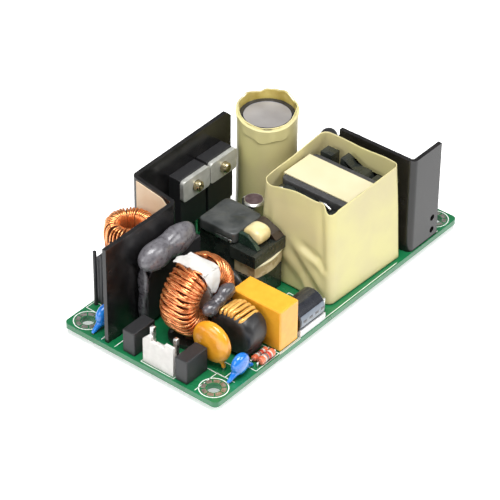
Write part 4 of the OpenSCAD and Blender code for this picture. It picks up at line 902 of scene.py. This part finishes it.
def drawn_sleeve():
    """Squared ellipses level by level: along the board the half width shrinks near the opening,
    across it is the ring's chord at that height, and the same levels repeat inside the wall."""
    mid, half = middle_of("sleeved_choke_sleeve")
    foot = box_of("sleeved_choke_sleeve")[0][2]
    centre, r = middle_of("sleeved_choke_winding")[0][2], half[1]
    levels, around = 48, 120
    t = np.linspace(0, 1, levels)
    z = foot + (SLEEVE_TOP - foot) * np.sin(t * np.pi / 2)
    closing = np.clip((z - centre) / (z[-1] - centre), 0, 1)
    chord = np.sqrt(np.maximum(r ** 2 - (z - centre) ** 2, 1.0))
    chord = np.where(z < centre, np.maximum(chord, r * 0.8), chord)
    chord = chord * (1 - 0.15 * closing ** 6)
    wide = half[0] * (1 - 0.26 * closing ** 4) * (1 - 0.05 * (1 - t) ** 3)
    power = (4.5 - 2.1 * closing ** 2)[:, None]
    a = np.linspace(0, 2 * np.pi, around, endpoint=False)[None]
    dents = 1 + 0.012 * np.sin(3 * a + 4 * t[:, None]) + 0.01 * np.sin(7 * a - 9 * t[:, None])
    x, y = raised(np.cos(a), power) * dents, raised(np.sin(a), power) * dents
    shells = [np.stack([mid[0] + (wide[:, None] - gap) * x, mid[1] + (chord[:, None] - gap) * y,
                        np.broadcast_to(z[:, None], x.shape)], -1) for gap in (0, SLEEVE_WALL)]
    return np.concatenate([shells[0], shells[1][::-1]]), True, True


piece("sleeved_choke_shrink", [drawn_sleeve()], SLEEVING, ("sleeved_choke_sleeve",))
print("sleeve drawn in")

# %% [markdown]
# ## The cloth between the windings
#
# A strip of white cloth tape lies over the ring where the two windings meet, and its end is
# pinched down in front. It is a flat oval carried along a bent path, wider in the middle than at
# its ends.

# %% A strip of cloth over the ring


def bent(stations, count):
    """Smooth rows through stations: straight steps between them, then a weighted average of each
    row with its neighbours, once for every ten rows."""
    stations = np.array(stations, float)
    at = np.linspace(0, len(stations) - 1, count)
    rows = np.stack([np.interp(at, np.arange(len(stations)), col) for col in stations.T], 1)
    for _ in range(count // 10):
        rows[1:-1] = (rows[:-2] + 2 * rows[1:-1] + rows[2:]) / 4
    return rows


def strap(stations, thick, creases, count, sides):
    """A flat oval across x, carried along stations of (x, y, z, half width). Sines that run
    slantwise over it lift its surface, and its sides droop with the square of the distance."""
    rows = bent(stations, count)
    path, half = rows[:, :3], rows[:, 3:]
    along = np.gradient(path, axis=0)
    up = np.cross(np.array([1.0, 0, 0]), along)
    up /= -np.linalg.norm(up, axis=1, keepdims=True)
    q = np.linspace(0, 2 * np.pi, sides, endpoint=False)[None]
    across = half * raised(np.cos(q), 2.5)
    v = np.linspace(0, 1, count)[:, None]
    lift = thick * np.sin(q) + creases * np.sin(2.2 * across + 14 * v) \
        + 0.6 * creases * np.sin(5 * across - 23 * v)
    lift = lift - 0.22 * (across / 2.5) ** 2
    side = across[..., None] * np.array([1.0, 0, 0])
    return closed_ends(path[:, None] + side + lift[..., None] * up[:, None]), False, True


CLOTH = (  # x, y, z from the ring's crown, half width
    (-1.0, 6.2, -1.2, 1.3), (-0.8, 5.0, -0.3, 1.9), (-0.3, 2.8, 0.1, 2.5), (0, 0.2, 0.2, 2.8),
    (0, -2.6, 0, 3.0), (0.1, -4.6, -0.7, 3.0), (0.2, -5.3, -2.4, 2.7), (0.3, -5.5, -4.6, 1.9),
    (0.3, -5.2, -6.6, 0.9))
crown = (cm_mid[0], cm_mid[1], cm_mid[2] + cm_r - 1.2, 0)
piece("common_mode_cloth", [strap(np.array(CLOTH) + crown, 0.3, 0.12, 60, 28)], WHITE)
print("cloth laid over the ring, in", len(CLOTH), "stations")

# %% [markdown]
# ## The boost inductor
#
# The inductor is a block wrapped in black cloth tape, with a clip of bare metal on it. On its near
# side the wound roll bulges in yellow tape between two cheeks of the bobbin, and a band of tape
# runs below the terminal bar. Heights in these cells are from the underside of the board.

# %% The taped block


def block(low, high, rounding, creases=0.0, seed=0.0):
    """A squared ball that fills a box, with slow slanting creases."""
    low, high = np.array(low, float), np.array(high, float)
    mid, half = (low + high) / 2, (high - low) / 2
    grid, *wrap = squared_ball(mid, half, (rounding, rounding), 56, 112)
    a, b = (grid[..., 0] - mid[0]) / half[0], (grid[..., 1] - mid[1]) / half[1]
    dent = np.sin(3.1 * a + 2.3 * b + seed) + np.sin(6.4 * b - 2.2 * a + 2 * seed) \
        + 0.7 * np.sin(9.1 * a + 5.2 * b + seed)
    grid[..., 2] -= creases * (1 + np.tanh(1.6 * dent)) * (grid[..., 2] > mid[2])
    return grid, *wrap


low, high = box_of("boost_core")
piece("boost_taped_block", [block(low, high + (0, 0, 0.2), 9, 0.13, 0.4)], GREY_TAPE,
      ("boost_core",))
piece("boost_clip",
      [block((low[0] - 0.15, low[1] + 0.9, 17.0), (low[0] + 0.5, low[1] + 6.2, 18.1), 8)],
      TINNED)
piece("boost_notch",
      [block((low[0] - 0.08, low[1] + 0.7, 18.1), (low[0] + 0.6, low[1] + 6.6, 18.7), 8)],
      BOBBIN)
print("block", high - low)

# %% The taped roll between its cheeks
DARK_GREEN = finish(
    "green black bobbin", (0.008, 0.022, 0.014), (0.016, 0.04, 0.026), 0.2, 0, 300, 0.15, 0.05,
    0.5)
BROWN_BLACK = finish(
    "brown black cheek", (0.016, 0.01, 0.008), (0.04, 0.026, 0.018), 0.3, 0, 300, 0.2, 0.05, 0.3)
ROLL_TAPE = finish(
    "golden winding tape", (0.6, 0.47, 0.2), (0.74, 0.64, 0.36), 0.36, 0, 260, 0.15, 0.1, 0.3)
CHEEK_RIGHT = (-0.1, 16.7), (-0.1, 19.7), (-1.3, 19.7), (-5.6, 18.0), (-7.2, 16.8)
CHEEK_LEFT = (-0.1, 16.7), (-0.1, 19.8), (-2.6, 19.8), (-5.2, 18.2), (-6.4, 16.8)


def slab(profile, x0, x1):
    """A plate between two x planes with a profile of (y, z) points, each end closed on its
    middle."""
    profile = np.array(profile, float)
    rows = [np.hstack([np.full((len(profile), 1), x), profile]) for x in (x0, x1)]
    return closed_ends(np.stack(rows)), False, True


low, high = box_of("boost_winding")
mid, half = middle_of("boost_winding")
grid, *wrap = squared_ball((0, 0, 0), half[[1, 2, 0]] * (1.05, 1.0, 1), (2.5, 5.0))
piece("boost_roll", [(np.stack([grid[..., 2], grid[..., 0], grid[..., 1]], -1) + mid, *wrap)],
      ROLL_TAPE, ("boost_winding",))
piece("boost_cheek_right", [slab(CHEEK_RIGHT, high[0] + 0.1, -1.7)], BROWN_BLACK, smooth=False)
piece("boost_cheek_left", [slab(CHEEK_LEFT, low[0] - 1.3, low[0] - 0.1)], DARK_GREEN,
      smooth=False)
low, high = box_of("boost_tape")
v = np.linspace(0, 1, 30)
edge = np.stack([low[0] + (high[0] - low[0]) * v, low[1] + 0.95 - 0.92 * np.sin(np.pi * v),
                 np.full_like(v, high[2] - 0.25)], 1)
piece("boost_tape_edge", [tube(edge, 0.36, (0, 0, 1), 10)], BAND_TAPE)
print("boost inductor taped")

# %% [markdown]
# ## Small parts seen from above
#
# The bobbin of the transformer stands up in ears beside the core, resistors carry colour bands,
# and the lying capacitor has the pale stripe that marks its negative lead.

# %% Ears of the bobbin and ends of its wire
EAR_FOOT = 23.4
EARS = (  # x of both faces, then the outline in (y, z)
    (21.0, 24.4, ((-19.9, EAR_FOOT), (-19.9, 26.6), (-17.2, 26.4), (-16.4, 25.0), (-15.2, 26.8),
                  (-10.4, 26.8), (-9.6, 27.6), (-8.2, 28.9), (-7.5, 28.9), (-7.3, EAR_FOOT))),
    (21.0, 24.4, ((-4.6, EAR_FOOT), (-4.6, 28.3), (-0.9, 28.3), (-0.9, EAR_FOOT))),
    (1.8, 5.4, ((-20.4, EAR_FOOT), (-20.4, 25.6), (-13.0, 25.2), (-12.2, 26.4), (-6.0, 26.6),
                (-2.4, 26.9), (-0.6, 26.2), (-0.6, EAR_FOOT))))
WIRE_ENDS = (((4.9, -13.3, 26.4), (4.8, -15.0, 26.6), (4.6, -17.2, 25.9)),
             ((2.6, -0.7, 26.4), (2.2, -1.6, 27.0), (3.2, -2.6, 26.9)))
piece("transformer_bobbin_ears", [slab(outline, x0, x1) for x0, x1, outline in EARS], BOBBIN,
      smooth=False)
piece("transformer_wire_ends", [tube(bent(line, 14), 0.42, (1, 0, 0), 10) for line in WIRE_ENDS],
      TINNED)
print(len(EARS), "ears,", len(WIRE_ENDS), "wire ends")

# %% Bands on the resistors
low, high = box_of("axial_resistors")
BANDS = {"red": ((0.5, 0.02, 0.01), (0.7, 3.1)), "pale": ((0.6, 0.56, 0.5), (1.5, 3.8)),
         "grey": ((0.14, 0.13, 0.13), (2.3, 4.5))}
RESISTORS = (low[1] + 1.1, 2.75, 1.0), (high[1] - 0.85, 2.5, 0.78)  # y, z and radius of each
for name, (colour, places) in BANDS.items():
    ink_of_band = finish(name + " band", colour, rough=0.3, scale=900, coat=0.5)
    rings = []
    for y, z, r in RESISTORS:
        for x in places:
            path = np.array([(low[0] + x + k * 0.15, y, z) for k in range(4)])
            rings.append(tube(path, r + 0.06, (0, 0, 1), 24))
    piece("resistor_bands_" + name, rings, ink_of_band)
print(len(BANDS) * len(rings), "bands")

# %% The stripe on the lying capacitor and the lid of a can
STRIPE = finish(
    "blue grey stripe", (0.13, 0.16, 0.2), (0.18, 0.21, 0.26), 0.3, 0, 400, 0.05, 0.05, 0.4)
LID = finish("dark can lid", (0.09, 0.055, 0.07), (0.17, 0.12, 0.14), 0.35, 0.4, 500)
FILM = 0.04


def patch(centre, r, x0, x1, a0, a1, thick=FILM):
    """A strip of a cylinder along x between two angles about its axis, thick deep."""
    angle = np.radians(np.linspace(a0, a1, 24))
    shell = [np.stack([np.cos(angle), np.sin(angle)], 1) * (r + gap) + np.array(centre)
             for gap in (0, thick)]
    return slab(np.concatenate([shell[0], shell[1][::-1]]), x0, x1)


low, high = box_of("lying_capacitor_sleeve")
centre, r = (low + high)[1:] / 2, (high - low)[2] / 2
bars = [patch(centre, r + FILM, x, x + 1.3, 172, 182, FILM / 2)
        for x in np.arange(low[0] + 1.2, high[0] - 1, 2.4)]
piece("lying_capacitor_stripe", [patch(centre, r, low[0] + 0.5, high[0] - 0.1, 152, 202)],
      STRIPE, smooth=False)
piece("lying_capacitor_marks", bars, CAN_SLEEVE, smooth=False)
mid, half = middle_of("control_capacitor")
piece("control_capacitor_lid",
      [squared_ball((mid[0], mid[1], box_of("control_capacitor")[1][2]), (2.45, 2.45, 0.08))],
      LID)
print("stripe with", len(bars), "bars, and a lid")

# %% [markdown]
# ## Print, rings and pads on the board
#
# White print outlines the parts, and each mounting hole has a plated ring in segments with a white
# circle round it. The print is a film of ink, so that it is made as strips and rings a few
# hundredths of a millimetre thick, lying on the mask.

# %% Strips and rings of ink
FILM_OF_INK, RING_DEEP = 0.03, 0.05
INK = finish("white ink", (0.7, 0.72, 0.68), (0.86, 0.87, 0.84), 0.55, 0, 4000)
GOLD_PAD = finish("tinned pad", (0.42, 0.38, 0.33), (0.62, 0.6, 0.56), 0.35, 0.9, 1500, 0.2)


def strip(points, width, height=FILM_OF_INK, close=False):
    """A flat band of ink along straight lines, mitred at the corners: each point moves to both
    sides by half the width along the bisector of its two lines."""
    p = np.array(points, float)
    before = p - np.roll(p, 1, 0)
    after = np.roll(p, -1, 0) - p
    if not close:
        before[0], after[-1] = after[0], before[-1]
    before /= np.linalg.norm(before, axis=1, keepdims=True)
    after /= np.linalg.norm(after, axis=1, keepdims=True)
    side = np.stack([-(before + after)[:, 1], (before + after)[:, 0]], 1)
    side /= np.maximum(np.linalg.norm(side, axis=1, keepdims=True), 1e-6)
    square = np.stack([-after[:, 1], after[:, 0]], 1)
    reach = width / 2 / np.maximum((side * square).sum(1, keepdims=True), 0.4)
    left, right = p + side * reach, p - side * reach
    z = np.full((len(p), 1), BOARD_TOP)
    corners = (left, z), (left, z + height), (right, z + height), (right, z)
    grid = np.stack([np.hstack(corner) for corner in corners], 1)
    return (grid, True, True) if close else (closed_ends(grid), False, True)


def circle(x, y, r, a0=0, a1=360, count=64):
    """Points on a circle about x, y."""
    a = np.radians(np.linspace(a0, a1, count, endpoint=(a1 - a0) < 360))
    return np.stack([x + r * np.cos(a), y + r * np.sin(a)], 1)


def around(node, gap):
    """The outline of a part's box on the board, gap away from it."""
    low, high = box_of(node)
    (x0, y0), (x1, y1) = low[:2] - gap, high[:2] + gap
    return [(x0, y0), (x1, y0), (x1, y1), (x0, y1)]


HOLE_X, HOLE_Y = 46.355, 20.955
HOLES = [(sx * HOLE_X, sy * HOLE_Y) for sx in (-1, 1) for sy in (-1, 1)]
OUTLINED = ("inlet_header", "yellow_film_capacitor", "varistor", "output_header",
            "bulk_capacitor", "grey_film_capacitor")
LINES = (
    ((-41.4, -23.6), (-41.4, -17.9), (-50.0, -17.9)), ((-34.6, -24.9), (-25.4, -24.9)),
    ((-34.6, -19.6), (-34.6, -24.9)), ((-25.6, -24.9), (24.0, -24.9)),
    ((31.5, -24.8), (42.5, -24.8)), ((-50.0, 8.6), (-44.4, 8.6), (-44.4, 0.2)),
    ((-50.1, -9.9), (-50.1, -11.2)), ((-42.6, 21.6), (-42.6, 24.9), (-30, 24.9)),
    ((-49.9, 13.2), (-42.0, 13.2)), ((-37.8, -6.6), (-37.8, -8.4), (-41.6, -8.4)),
    ((-17.4, -16.8), (-6.6, -16.8)), ((-13.2, -11.2), (-4.4, -11.2), (-4.4, -15.4)))
ink = [strip(circle(x, y, 3.75), 0.26, close=True) for x, y in HOLES]
ink += [strip(around(node, 0.35), 0.2, close=True) for node in OUTLINED]
ink += [strip(line, 0.2) for line in LINES]
piece("board_print", ink, INK, smooth=False)
rings = [strip(circle(x, y, 2.65, k * 45 + 4, k * 45 + 41, 10), 1.2, RING_DEEP)
         for x, y in HOLES for k in range(8)]
piece("hole_rings", rings, GOLD_PAD, smooth=False)
print(len(ink), "strips of ink,", len(rings), "ring segments")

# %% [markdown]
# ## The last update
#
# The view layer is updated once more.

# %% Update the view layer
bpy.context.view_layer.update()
